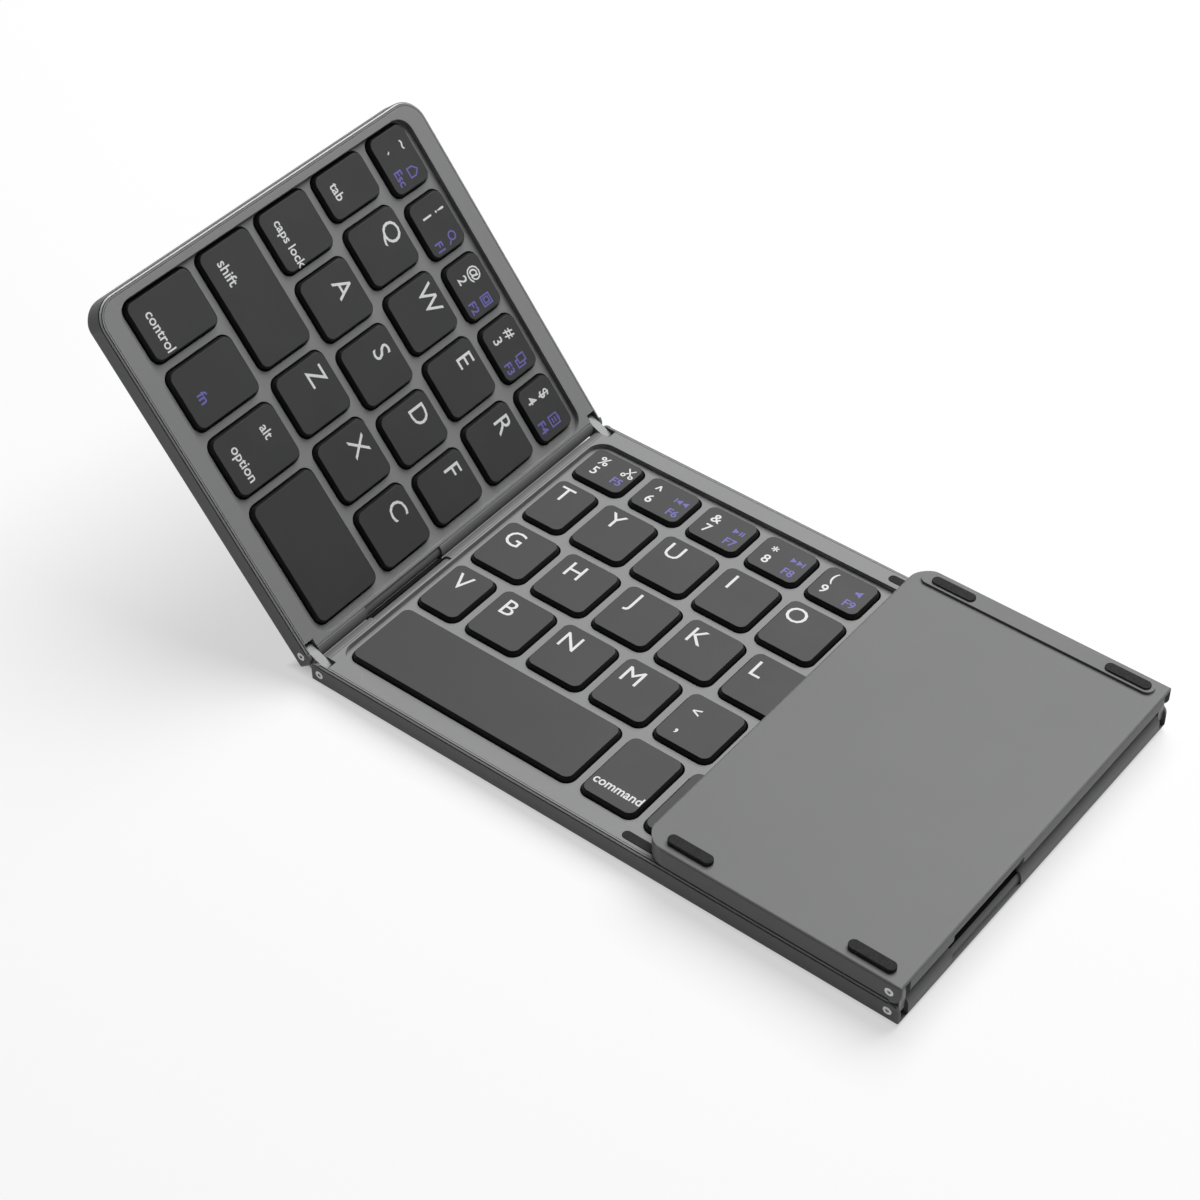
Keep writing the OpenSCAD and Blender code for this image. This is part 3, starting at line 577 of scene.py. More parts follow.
def key_cap_tree(sizes):
    """Sets a hollow cap with leaning sides on every point, as wide and deep as its cap_size."""
    tree = bpy.data.node_groups.new("key_cap_rows", "GeometryNodeTree")

    def new_socket(name, kind, way="INPUT"):
        return tree.interface.new_socket(name, in_out=way, socket_type="NodeSocket" + kind)

    def geometry(kind, inputs=(), **settings):
        """The first result of a geometry node."""
        return add_node(tree, "GeometryNode" + kind, inputs, **settings).outputs[0]

    def math_of(operation, *values):
        return math_node(tree, operation, *values)

    def vector_of(operation, *values):
        return vector_node(tree, operation, *values)

    def split_z(vector):
        return add_node(tree, "ShaderNodeSeparateXYZ", {0: vector}).outputs["Z"]

    def by_ring(*values):
        """One value for each ring, from the ceiling inside, under the wall and up to the face."""
        switch = add_node(tree, "GeometryNodeIndexSwitch", data_type="FLOAT")
        while len(switch.index_switch_items) < len(values):
            switch.index_switch_items.new()
        for socket, value in zip(list(switch.inputs), (ring, *values)):
            fill_socket(tree, socket, value)
        return switch.outputs[0]

    new_socket("Geometry", "Geometry")
    for name in KeyboardCapSizes.__annotations__:
        socket = new_socket(name.replace("_", " ").title(), "Float")
        socket.subtype = "DISTANCE"
        socket.default_value = getattr(sizes, name)
        socket.min_value = 0.0
    new_socket("Face Finish", "Material")
    new_socket("Side Finish", "Material")
    new_socket("Geometry", "Geometry", "OUTPUT")
    given = add_node(tree, "NodeGroupInput").outputs
    height, edge, lean = given["Height"], given["Edge Radius"], given["Lean"]
    wall, corner = given["Wall"], given["Corner Radius"]

    # One cap at its corners' size, made of a drum whose rings move in and up to a cap's section.
    drum = geometry("MeshCylinder", {
        "Vertices": CAP_CORNERS, "Side Segments": CAP_RINGS - 1, "Radius": 1.0,
        "Depth": CAP_RINGS - 1,
    })
    turned = geometry("Transform", {"Geometry": drum, "Rotation": (0, 0, math.pi / CAP_CORNERS)})
    position = geometry("InputPosition")
    ring = math_of("ROUND", math_of("ADD", split_z(position), (CAP_RINGS - 1) / 2))
    inset = by_ring(
        wall, wall, 0.0, 0.0, lean, math_of("MULTIPLY_ADD", edge, EDGE_MIDDLE, lean),
        math_of("ADD", lean, edge),
    )
    level = by_ring(
        math_of("SUBTRACT", height, given["Top Thickness"]), 0.0, 0.0, given["Foot"],
        math_of("SUBTRACT", height, edge), math_of("MULTIPLY_ADD", edge, -EDGE_MIDDLE, height),
        height,
    )
    flat = vector_of("MULTIPLY", position, (1.0, 1.0, 0.0))
    rounded = add_node(tree, "ShaderNodeVectorMath", {
        0: vector_of("NORMALIZE", flat), "Scale": math_of("SUBTRACT", corner, inset),
    }, operation="SCALE").outputs[0]
    raised = add_node(tree, "ShaderNodeCombineXYZ", {"Z": level}).outputs[0]
    marked = geometry("StoreNamedAttribute", {
        "Geometry": turned, "Name": "quarter", "Value": vector_of("SIGN", flat),
    }, data_type="FLOAT_VECTOR")
    cap = geometry("SetPosition", {
        "Geometry": marked, "Position": vector_of("ADD", rounded, raised),
    })

    # A copy on every point, its four quarters moved out to the point's own width and depth.
    spread = geometry("InstanceOnPoints", {"Points": given["Geometry"], "Instance": cap})
    size, quarter = (
        geometry("InputNamedAttribute", {"Name": name}, data_type="FLOAT_VECTOR")
        for name in ("cap_size", "quarter")
    )
    corners = add_node(tree, "ShaderNodeCombineXYZ", {"X": corner, "Y": corner}).outputs[0]
    reach = vector_of("SUBTRACT", vector_of("MULTIPLY", size, (0.5, 0.5, 0.0)), corners)
    grown = geometry("SetPosition", {
        "Geometry": geometry("RealizeInstances", {"Geometry": spread}),
        "Offset": vector_of("MULTIPLY", quarter, reach),
    })
    facing = split_z(geometry("InputNormal"))
    stays_flat = math_of("GREATER_THAN", facing, FLAT)
    smooth = geometry("SetShadeSmooth", {
        "Geometry": grown, "Shade Smooth": math_of("SUBTRACT", 1.0, stays_flat),
    })
    # All faces first get the near-black side finish, partly dark moulding and partly painted shade of
    # the sides and of the gap round each cap; faces that look up then get the face finish.
    sides = geometry("SetMaterial", {"Geometry": smooth, "Material": given["Side Finish"]})
    faces = geometry("SetMaterial", {
        "Geometry": sides, "Material": given["Face Finish"],
        "Selection": math_of("GREATER_THAN", facing, PAINTED),
    })
    add_node(tree, "NodeGroupOutput", {"Geometry": faces})
    return tree


def key_points(node):
    """One vertex at the foot of each cap, with the cap's width and depth as cap_size."""
    boxes = cap_boxes(node)
    mesh = bpy.data.meshes.new(node + "_points")
    mesh.from_pydata(
        [((low.x + high.x) / 2, (low.y + high.y) / 2, low.z) for low, high in boxes], [], []
    )
    sizes = mesh.attributes.new("cap_size", "FLOAT_VECTOR", "POINT")
    sizes.data.foreach_set(
        "vector", [value for low, high in boxes for value in (high.x - low.x, high.y - low.y, 0)]
    )
    return link_object(node + "_points", mesh)


def caps_of(node, tree, finishes):
    """The caps of one key node as a plain mesh in the row frame."""
    seeds = key_points(node)
    caps = seeds.modifiers.new("caps", "NODES")
    caps.node_group = tree
    for item in tree.interface.items_tree:
        if item.item_type == "SOCKET" and item.name in finishes:
            caps[item.identifier] = finishes[item.name]
    mesh = evaluated_mesh(seeds)
    seeds.modifiers.remove(caps)
    bpy.data.objects.remove(seeds)
    for spare in ("quarter", "cap_size"):
        if spare in mesh.attributes:
            mesh.attributes.remove(mesh.attributes[spare])
    mesh.transform(key_frame(node))
    mesh.name = node + "_caps"
    return link_object(node + "_caps", mesh)


# ---- Legends ----

UPPER, MIDDLE = 4.25, 4.75  # where the large letters stand on the upper and the other rows
LARGE, SIGN, SMALL = 4.5, 3.3, 4.0  # large letters, punctuation, and where small marks start
SHIFTED, PLAIN, ICON, FUNCTION = 2.6, 2.5, 2.9, 2.1  # the four marks of a number key


def mark(what, x, y, height=LARGE, ink="white"):
    """A text, or the name of an icon. x and y run from the cap's left and back edge to its
    middle, all in mm."""
    return (what, x, y, height, ink)


def letters(signs, y, *xs):
    """A run of caps with one large letter each."""
    return [[mark(sign, x, y)] for sign, x in zip(signs, xs)]


def pair(shifted, plain, x=3.9, ys=(4.0, 10.4)):
    """Two signs, one over the other, on a punctuation key."""
    return [mark(shifted, x, ys[0], SIGN), mark(plain, x, ys[1], SIGN)]


def number_key(shifted, plain, function, icon, xs, ys, icon_ink="blue"):
    """A number key's four marks; xs and ys are shifted, plain, icon and function name."""
    marks = [mark(shifted, xs[0], ys[0], SHIFTED), mark(plain, xs[1], ys[1], PLAIN)]
    if function:
        marks.append(mark(icon, xs[2], ys[2], ICON, icon_ink))
        marks.append(mark(function, xs[3], ys[3], FUNCTION, "blue"))
    return marks


LEGENDS = {
    "key_escape": [number_key("~", "`", "Esc", "house", (4.7, 4.7, 10.9, 10.8), (3.0, 7.4, 3.9, 7.9))],
    "key_1": [number_key("!", "1", "F1", "glass", (4.4, 4.4, 11.0, 11.4), (3.1, 7.1, 4.0, 8.1))],
    "key_2": [number_key("@", "2", "F2", "frame", (4.5, 4.3, 10.9, 10.9), (3.8, 7.4, 4.5, 8.5))],
    "key_3": [number_key("#", "3", "F3", "pages", (4.1, 4.1, 10.6, 10.7), (3.8, 7.5, 4.6, 8.5))],
    "key_4": [number_key("$", "4", "F4", "board", (3.9, 3.6, 10.2, 10.2), (3.9, 7.7, 4.8, 8.7))],
    "key_tab": [[mark("tab", 5.3, 10.8, 2.3)]],
    "key_caps": [[mark("caps lock", 8.8, 11.0, 2.15)]],
    "key_shift": [[mark("shift", 6.5, 10.2, 2.5)]],
    "key_control": [[mark("control", 8.5, 13.9, 2.3)]],
    "key_fn": [[mark("fn", 8.2, 13.6, 2.4, "blue")]],
    "key_option": [[mark("alt", 5.2, 4.9, 2.3), mark("option", 7.9, 14.1, 2.3)]],
    "key_command": [[mark("command", 7.1, 14.1, 2.2)]],
    "keys_arrows": [
        [mark("alt", 7.0, 14.1, 2.3)],
        [mark("arrow_left", 6.9, 9.2, 3.0)],
        [mark("arrow_down", 6.9, 9.2, 3.0)],
        [mark("arrow_right", 6.5, 9.2, 3.0)],
    ],
    "keys_lower_row": [
        *letters("VBNM", MIDDLE, 4.6, 4.6, 4.5, 4.4),
        [mark("<", 4.3, 4.9, 2.6), mark(",", 4.1, 11.7, SIGN)],
        [mark(">", 4.3, 4.9, 2.6), mark(".", 4.1, 11.7, SIGN)],
        pair("?", "/"),
        [mark("arrow_up", 5.5, 7.6, 3.0)],
        [mark("shift", 5.5, 10.2, 2.3)],
    ],
    "keys_home_row": [
        *letters("GHJKL", MIDDLE, 4.8, 5.0, 3.9, 4.6, 3.8),
        pair(":", ";"),
        pair("\"", "'", ys=(4.2, 9.8)),
        [mark("enter", 12.6, 11.0, 2.3)],
    ],
    "keys_upper_row": [
        *letters("TYUIOP", UPPER, 4.0, 5.1, 4.8, 3.6, 3.9, 4.6),
        pair("{", "["),
        pair("}", "]"),
        pair("|", "\\", 4.6),
    ],
    "keys_number_row": [
        number_key("%", "5", "F5", "scissors", (4.2, 4.2, 11.2, 10.5), (3.6, 7.2, 3.5, 7.4), "white"),
        number_key("^", "6", "F6", "track_back", (3.6, 3.8, 10.6, 10.8), (3.2, 7.3, 4.2, 8.1)),
        number_key("&", "7", "F7", "play_pause", (3.9, 3.8, 10.4, 10.6), (3.6, 7.3, 4.4, 8.1)),
        number_key("*", "8", "F8", "track_on", (3.8, 3.9, 10.2, 10.3), (3.7, 7.4, 4.4, 8.2)),
        number_key("(", "9", "F9", "speaker", (3.3, 3.3, 10.3, 10.4), (3.7, 7.5, 4.5, 8.3)),
        number_key(")", "0", "", "", (3.6, 3.8), (3.7, 7.4)),
        number_key("_", "-", "", "", (3.8, 3.8), (3.7, 7.4)),
        number_key("+", "=", "", "", (3.8, 3.8), (3.7, 7.4)),
        [mark("back_arrow", 6.6, 5.6, 2.6)],
    ],
}
LETTER_KEYS = (letters("QWER", UPPER, 5.6, 5.7, 4.6, 4.7)
               + letters("ASDFZXC", MIDDLE, 6.1, 5.4, 4.7, 4.0, 4.6, 5.4, 4.9))
LEGENDS.update({f"key_{marks[0][0].lower()}": [marks] for marks in LETTER_KEYS})

# Icons in a square of -0.5 to 0.5, of closed lines (rings), open lines and filled patches.

ARC = [math.pi * step / 6 for step in range(12)]


def circle(x, y, radius):
    return [(x + radius * math.cos(a), y + radius * math.sin(a)) for a in ARC]


def rectangle(left, low, right, high):
    return [(left, low), (right, low), (right, high), (left, high)]


def wedge(tip, base, half):
    """A triangle along x, half as high on either side at its base."""
    return [(tip, 0), (base, -half), (base, half)]


def upright(outline):
    """An outline along x, turned to run along y."""
    return [(y, x) for x, y in outline]


ICONS = {
    "house": {"rings": [[(-0.38, -0.46), (0.38, -0.46), (0.38, 0.06), (0, 0.46), (-0.38, 0.06)]]},
    "glass": {"rings": [circle(-0.1, 0.12, 0.34)], "lines": [[(0.18, -0.17), (0.46, -0.46)]]},
    "frame": {"rings": [rectangle(-0.4, -0.42, 0.4, 0.48), rectangle(-0.2, -0.2, 0.22, 0.26)]},
    "pages": {
        "rings": [rectangle(-0.44, -0.24, 0.16, 0.5)],
        "lines": [[(0.22, 0.26), (0.44, 0.26), (0.44, -0.5), (-0.18, -0.5), (-0.18, -0.3)]],
    },
    "board": {
        "rings": [rectangle(-0.42, -0.5, 0.42, 0.4)],
        "lines": [[(-0.2, 0.08), (0.22, 0.08)], [(-0.2, -0.2), (0.22, -0.2)]],
        "patches": [rectangle(-0.18, 0.3, 0.18, 0.52)],
    },
    "scissors": {
        "rings": [circle(-0.34, -0.36, 0.16), circle(0.34, -0.36, 0.16)],
        "lines": [[(-0.32, 0.5), (0.24, -0.22)], [(0.32, 0.5), (0.06, 0.166)],
                  [(-0.06, 0.012), (-0.24, -0.22)]],
    },
    "track_back": {
        "lines": [[(-0.58, -0.26), (-0.58, 0.26)]],
        "patches": [wedge(-0.5, -0.02, 0.28), wedge(0.06, 0.54, 0.28)],
    },
    "track_on": {
        "lines": [[(0.58, -0.26), (0.58, 0.26)]],
        "patches": [wedge(0.5, 0.02, 0.28), wedge(-0.06, -0.54, 0.28)],
    },
    "play_pause": {
        "lines": [[(0.2, -0.24), (0.2, 0.24)], [(0.42, -0.24), (0.42, 0.24)]],
        "patches": [wedge(0.06, -0.46, 0.28)],
    },
    "speaker": {
        "patches": [[(-0.28, -0.12), (-0.08, -0.12), (0.26, -0.36), (0.26, 0.36), (-0.08, 0.12),
                     (-0.28, 0.12)]],
    },
    "arrow_left": {"patches": [wedge(-0.4, 0.3, 0.38)]},
    "arrow_right": {"patches": [wedge(0.4, -0.3, 0.38)]},
    "arrow_up": {"patches": [upright(wedge(0.4, -0.3, 0.38))]},
    "arrow_down": {"patches": [upright(wedge(-0.4, 0.3, 0.38))]},
    "back_arrow": {"lines": [[(-0.55, 0), (0.6, 0)], [(-0.2, 0.35), (-0.55, 0), (-0.2, -0.35)]]},
}


def add_prism(bm, outline, low, high):
    """A closed plate between two levels over an outline that runs to the left."""
    bottom = [bm.verts.new((x, y, low)) for x, y in outline]
    top = [bm.verts.new((x, y, high)) for x, y in outline]
    bm.faces.new(list(reversed(bottom)))
    bm.faces.new(top)
    for i in range(len(outline)):
        bm.faces.new((bottom[i - 1], bottom[i], top[i], top[i - 1]))


def stroke_sides(points, closed, stroke):
    """The points left and right of a line at half a stroke, its corners mitred."""
    last = len(points) - 1
    following = [*points[1:], points[0]]
    ways = [(Vector(b) - Vector(a)).normalized() for a, b in zip(points, following)]
    sides = []
    for i, point in enumerate(points):
        before = ways[i - 1] if closed or i > 0 else ways[i]
        after = ways[i] if closed or i < last else ways[i - 1]
        along = (before + after).normalized()
        across = Vector((-along.y, along.x)) * (stroke / 2 / along.dot(before))
        sides.append((Vector(point) + across, Vector(point) - across))
    return sides


def add_line(bm, points, closed, stroke, low, high):
    """A stroke along points as one closed bar or ring between two levels."""
    posts = [
        [bm.verts.new((*side, level)) for level in (low, high) for side in pair]
        for pair in stroke_sides(points, closed, stroke)
    ]
    left, right, left_up, right_up = range(4)
    edges = ((right_up, left_up), (left, right), (right, right_up), (left_up, left))
    for here, there in zip(posts, [*posts[1:], posts[0]] if closed else posts[1:]):
        for a, b in edges:
            bm.faces.new((here[a], there[a], there[b], here[b]))
    if not closed:
        bm.faces.new([posts[0][i] for i in (left, right, right_up, left_up)])
        bm.faces.new([posts[-1][i] for i in (right, left, left_up, right_up)])


def counter_clockwise(outline):
    area = sum(a[0] * b[1] - b[0] * a[1] for a, b in zip(outline, outline[1:] + outline[:1]))
    return outline if area > 0 else list(reversed(outline))


def icon_mesh(name, height, stroke, low, high):
    """An icon about its middle, as closed plates."""
    bm = bmesh.new()
    for kind, forms in ICONS[name].items():
        for form in forms:
            points = [(x * height, y * height) for x, y in form]
            if kind == "patches":
                add_prism(bm, counter_clockwise(points), low, high)
            else:
                add_line(bm, points, kind == "rings", stroke, low, high)
    return mesh_from(bm, name)


def evaluated_mesh(obj):
    """An object's mesh after its modifiers, or a text's letters as a mesh."""
    graph = bpy.context.evaluated_depsgraph_get()
    return bpy.data.meshes.new_from_object(obj.evaluated_get(graph), depsgraph=graph)


def letter_mesh(text, extrude=0.0, offset=0.0):
    """A text in the built-in font at size 1, with its lowest and highest x and y."""
    curve = bpy.data.curves.new("legend", "FONT")
    curve.body = text
    curve.size = 1.0
    curve.resolution_u = 3
    curve.fill_mode = "BOTH"
    curve.extrude = extrude
    curve.offset = offset
    holder = link_object("legend", curve)
    mesh = evaluated_mesh(holder)
    bpy.data.objects.remove(holder)
    bpy.data.curves.remove(curve)
    xs = [vert.co.x for vert in mesh.vertices]
    ys = [vert.co.y for vert in mesh.vertices]
    return mesh, (min(xs), max(xs)), (min(ys), max(ys))


def capital_height():
    """Height of a capital letter in the built-in font at size 1."""
    mesh, _, ys = letter_mesh("H")
    bpy.data.meshes.remove(mesh)
    return ys[1] - ys[0]


def text_mesh(text, scale, squeeze, thickness, weight):
    """A text about its middle as a closed mesh, drawn at scale and narrowed by squeeze."""
    mesh, xs, ys = letter_mesh(text, thickness / 2 / scale, weight / scale)
    middle = Matrix.Translation((-sum(xs) / 2, -sum(ys) / 2, 0))
    mesh.transform(Matrix.Diagonal((scale * squeeze, scale, scale, 1)) @ middle)
    return mesh


def legends_of(node, sizes):
    """All marks of one key node on its cap faces, as one mesh in the row frame."""
    bm = bmesh.new()
    boxes = cap_boxes(node)
    if len(boxes) != len(LEGENDS[node]):
        raise RuntimeError(f"{node} has {len(boxes)} caps and {len(LEGENDS[node])} legends")
    inks = ("white", "blue")
    sunk, proud = -sizes.ink_thickness, sizes.ink_thickness
    capital = capital_height()
    for (low, high), marks in zip(boxes, LEGENDS[node]):
        for what, x, y, height, ink in marks:
            if what in ICONS:
                mesh = icon_mesh(what, height * MM, sizes.icon_stroke, sunk, proud)
            else:
                weight = sizes.small_weight if height < SMALL else sizes.letter_weight
                is_word = len(what) > 2
                squeeze = sizes.word_width if is_word else 1.0
                mesh = text_mesh(what, height * MM / capital, squeeze, proud - sunk, weight)
            mesh.transform(Matrix.Translation((low.x + x * MM, high.y - y * MM, high.z)))
            first = len(bm.faces)
            bm.from_mesh(mesh)
            bm.faces.ensure_lookup_table()
            for face in bm.faces[first:]:
                face.material_index = inks.index(ink)
                face.smooth = False
            bpy.data.meshes.remove(mesh)
    mesh = mesh_from(bm, node + "_legends")
    for ink in inks:
        mesh.materials.append(finish_of(f"{ink}_ink"))
    mesh.transform(key_frame(node))
    return link_object(node + "_legends", mesh)


# ---- Sizes, colours and stage, as a user would change them ----


def length(label, purpose, default):
    return bpy.props.FloatProperty(
        name=label, description=purpose, default=default, unit="LENGTH", precision=6)


def amount(label, purpose, default):
    return bpy.props.FloatProperty(name=label, description=purpose, default=default)


def angle(label, purpose, degrees):
    return bpy.props.FloatProperty(
        name=label, description=purpose, default=math.radians(degrees), subtype="ANGLE")


def tone(label, purpose, default):
    return bpy.props.FloatVectorProperty(
        name=label, description=purpose, default=default, subtype="COLOR", min=0, max=1)


def cap_height():
    """Height of the key bodies that the caps stand for."""
    low, high = cap_boxes("key_q")[0]
    return high.z - low.z


class KeyboardCapSizes(bpy.types.PropertyGroup):
    corner_radius: length("Corner Radius", "Radius of a cap's corners seen from above", 2.2 * MM)
    height: length("Height", "Height of a cap from its foot to its face", cap_height())
    foot: length("Foot", "Height at which a cap's sides start to lean in", 1.2 * MM)
    lean: length("Lean", "How far a cap's sides lean in at the top", 0.36 * MM)
    edge_radius: length("Edge Radius", "Round between a cap's face and its sides", 0.14 * MM)
    wall: length("Wall", "Thickness of a cap's sides", 0.8 * MM)
    top_thickness: length("Top Thickness", "Thickness of a cap's face", 0.9 * MM)


class KeyboardLegendSizes(bpy.types.PropertyGroup):
    ink_thickness: length("Ink Thickness", "How far the marks stand on a cap's face", 0.012 * MM)
    icon_stroke: length("Icon Stroke", "Width of the lines of the small icons", 0.34 * MM)
    letter_weight: length("Letter Weight", "Extra weight of the large letters", 0.0)
    small_weight: length("Small Weight", "Extra weight of the small words and signs", 0.05 * MM)
    word_width: amount("Word Width", "How far words are narrowed", 0.95)


class KeyboardEdgeSizes(bpy.types.PropertyGroup):
    cut_width: length("Cut Width", "Width of the bright cut round the rims", 0.58 * MM)
    shell_round: length("Shell Round", "Round on the edges of the back shells", 0.12 * MM)
    deck_round: length("Deck Round", "Round on the edges of the decks", 0.1 * MM)
    link_round: length("Link Round", "Round on the links and the cable strips", 0.1 * MM)
    pin_round: length("Pin Round", "Round on the heads of the hinge pins", 0.08 * MM)
    foot_round: length("Foot Round", "Round on the feet and the rim pads", 0.12 * MM)
    touch_round: length("Touch Round", "Round on the touch plate and its buttons", 0.12 * MM)


class KeyboardColours(bpy.types.PropertyGroup):
    shell_metal: tone("Shell", "Anodised metal of the back shells", (0.215, 0.216, 0.218))
    # The bright cut's colour is partly the bare metal and partly a painted highlight.
    cut_edge: tone("Cut Edge", "Bright cut round the rims", (0.62, 0.622, 0.625))
    deck_plastic: tone("Deck", "Satin frames round the keys", (0.3, 0.301, 0.303))
    key_caps: tone("Cap Face", "Painted faces of the caps", (0.05, 0.05, 0.051))
    # The near-black of the cap sides is partly their moulding and partly painted shade; the same
    # colour paints the shade lines along the rims' cut.
    cap_side: tone("Cap Side", "Bare sides of the caps", (0.008, 0.008, 0.008))
    white_ink: tone("White Ink", "Letters, numbers and signs", (0.95, 0.95, 0.95))
    blue_ink: tone("Blue Ink", "Marks for the function keys", (0.2, 0.18, 0.56))
    black_rubber: tone("Rubber", "Feet and rim pads", (0.012, 0.012, 0.013))
    hinge_steel: tone("Hinge Steel", "Links of the folds", (0.24, 0.242, 0.246))
    pin_steel: tone("Pin Steel", "Heads of the pins", (0.55, 0.555, 0.57))
    # The cable film's near-black is also painted shade on the rails round the right fold's cable slot.
    flat_cable: tone("Cable", "Film over the flat cables", (0.006, 0.006, 0.006))
    circuit_board: tone("Board", "Solder mask of the boards", (0.012, 0.08, 0.04))
    dome_rubber: tone("Domes", "Silicone domes under the keys", (0.75, 0.76, 0.78))
    scissor_plastic: tone("Scissors", "Scissor frames under the keys", (0.8, 0.8, 0.78))
    touch_surface: tone("Touch Plate", "Touchpad and its buttons", (0.12, 0.122, 0.126))
    battery_foil: tone("Battery", "Foil of the battery pouch", (0.5, 0.53, 0.56))
    socket_metal: tone("Socket", "Plated charging socket", (0.6, 0.6, 0.62))
    lens_plastic: tone("Lenses", "Indicator light pipes", (0.7, 0.8, 0.9))


class KeyboardStage(bpy.types.PropertyGroup):
    camera_point: bpy.props.FloatVectorProperty(
        name="Camera Point", description="Where the camera stands", subtype="TRANSLATION",
        default=(0.230303, -0.326905, 0.410213), precision=5)
    azimuth: angle("Azimuth", "Turn of the camera round the object from the front", 39.112)
    elevation: angle("Elevation", "How steeply the camera looks down", 43.571)
    roll: angle("Roll", "Tilt of the camera about its own line of sight", -0.925)
    lens: amount("Lens", "Focal length in millimetres for a 36 mm sensor", 82.21)
    floor: tone("Floor", "Plain pale floor", (0.45, 0.45, 0.45))
    floor_lift: amount("Floor Lift", "Light the camera sees added to the floor, to make it white", 0.6)
    # Soft edge of the painted shadow under the base.
    floor_edge: length("Floor Edge", "Width of the soft edge of the dark under the base", 7 * MM)
    lamp_power: amount("Lamp Power", "Power of the main soft lamp in watts", 21)
    fill_power: amount("Fill Power", "Power of the second soft lamp in watts", 0.25)
    sky: amount("Sky", "Strength of the even light from all sides", 0.06)


# ---- Operators ----

PANELS = ("centre", "left", "right")


class KEYBOARD_OT_key_caps(bpy.types.Operator):
    """Sets the hollow key caps over the key bodies of both keyed panels"""

    bl_idname = "keyboard.key_caps"
    bl_label = "Key Caps"

    def execute(self, context):
        finishes = {"Face Finish": finish_of("key_caps"), "Side Finish": finish_of("cap_side")}
        tree = key_cap_tree(context.scene.keyboard_cap_sizes)
        for node in sorted(frame["nodes"]):
            if node.startswith("key"):
                caps = caps_of(node, tree, finishes)
                carry(caps, body_of_node(node), "key_caps", node)
        bpy.data.node_groups.remove(tree)
        return {"FINISHED"}


class KEYBOARD_OT_legends(bpy.types.Operator):
    """Prints letters, numbers, signs and icons on the cap faces"""

    bl_idname = "keyboard.legends"
    bl_label = "Legends"

    def execute(self, context):
        for node in sorted(LEGENDS):
            marks = legends_of(node, context.scene.keyboard_legend_sizes)
            carry(marks, body_of_node(node), "key_caps")
        return {"FINISHED"}


class KEYBOARD_OT_back_shells(bpy.types.Operator):
    """Rounds and finishes the anodised back shells, and cuts their rims"""

    bl_idname = "keyboard.back_shells"
    bl_label = "Back Shells"

    def execute(self, context):
        edges = context.scene.keyboard_edge_sizes
        for panel in PANELS:
            node = f"{panel}_back_shell"
            cut = paint_slot_shade(cut_rim(panel, plain_faces(node), edges.cut_width))
            shell = softened(
                node, f"{panel}_anodised_shell", SHELL_FINISHES[0], edges.shell_round, cut)
            for finish in SHELL_FINISHES[1:]:
                shell.data.materials.append(finish_of(finish))
        return {"FINISHED"}


class KEYBOARD_OT_decks(bpy.types.Operator):
    """Rounds and finishes the decks that frame the keys and the touchpad"""

    bl_idname = "keyboard.decks"
    bl_label = "Decks"

    def execute(self, context):
        width = context.scene.keyboard_edge_sizes.deck_round
        for panel in PANELS:
            softened(f"{panel}_deck", f"{panel}_satin_deck", "deck_plastic", width)
        return {"FINISHED"}


class KEYBOARD_OT_hinges(bpy.types.Operator):
    """Finishes the two-pin links, the pins and the cable strips of both folds"""

    bl_idname = "keyboard.hinges"
    bl_label = "Hinges"

    def execute(self, context):
        edges = context.scene.keyboard_edge_sizes
        for side in ("left", "right"):
            softened(f"{side}_hinge_links", f"{side}_bright_links", "hinge_steel", edges.link_round)
            softened(f"{side}_cable_strip", f"{side}_flat_cable", "flat_cable", edges.link_round)
        for panel in PANELS:
            softened(f"{panel}_hinge_pins", f"{panel}_turned_pins", "pin_steel", edges.pin_round)
        return {"FINISHED"}


class KEYBOARD_OT_feet(bpy.types.Operator):
    """Rounds and finishes the rubber feet and the rim pads"""

    bl_idname = "keyboard.feet"
    bl_label = "Feet and Pads"

    def execute(self, context):
        width = context.scene.keyboard_edge_sizes.foot_round
        for node in ("centre_feet", "left_feet", "right_feet", "centre_rim_pads"):
            softened(node, f"{node}_moulded", "black_rubber", width)
        return {"FINISHED"}


class KEYBOARD_OT_touchpad(bpy.types.Operator):
    """Rounds and finishes the touch plate and its two click buttons"""

    bl_idname = "keyboard.touchpad"
    bl_label = "Touchpad"

    def execute(self, context):
        width = context.scene.keyboard_edge_sizes.touch_round
        for node in ("touchpad", "left_click_button", "right_click_button"):
            softened(node, f"{node}_rounded", SLOTS[node], width)
        return {"FINISHED"}


class KEYBOARD_OT_inner_parts(bpy.types.Operator):
    """Finishes boards, domes, scissor frames, battery, socket and lenses"""

    bl_idname = "keyboard.inner_parts"
    bl_label = "Inner Parts"

    def execute(self, context):
        repaint(
            "centre_key_board", "left_key_board", "main_board", "centre_rubber_domes",
            "left_rubber_domes", "centre_scissor_frames", "left_scissor_frames", "battery",
            "charge_socket", "indicator_lenses",
        )
        return {"FINISHED"}


class KEYBOARD_OT_stage(bpy.types.Operator):
    """Adds the pale floor, the soft lamps, the even sky and the camera"""

    bl_idname = "keyboard.stage"
    bl_label = "Floor, Light and Camera"

    def execute(self, context):
        stage = context.scene.keyboard_stage
        add_floor(stage)
        add_lamps(stage)
        add_sky(stage.sky)
        add_camera(stage)
        context.scene.view_settings.view_transform = "Standard"
        return {"FINISHED"}


# ---- Stage ----

FLOOR_REACH = 6  # metres from the middle to the floor's sides
LIFT_START, LIFT_END = 0.4, 1.6  # metres from the middle over which the floor turns white
SENSOR_WIDTH = 36


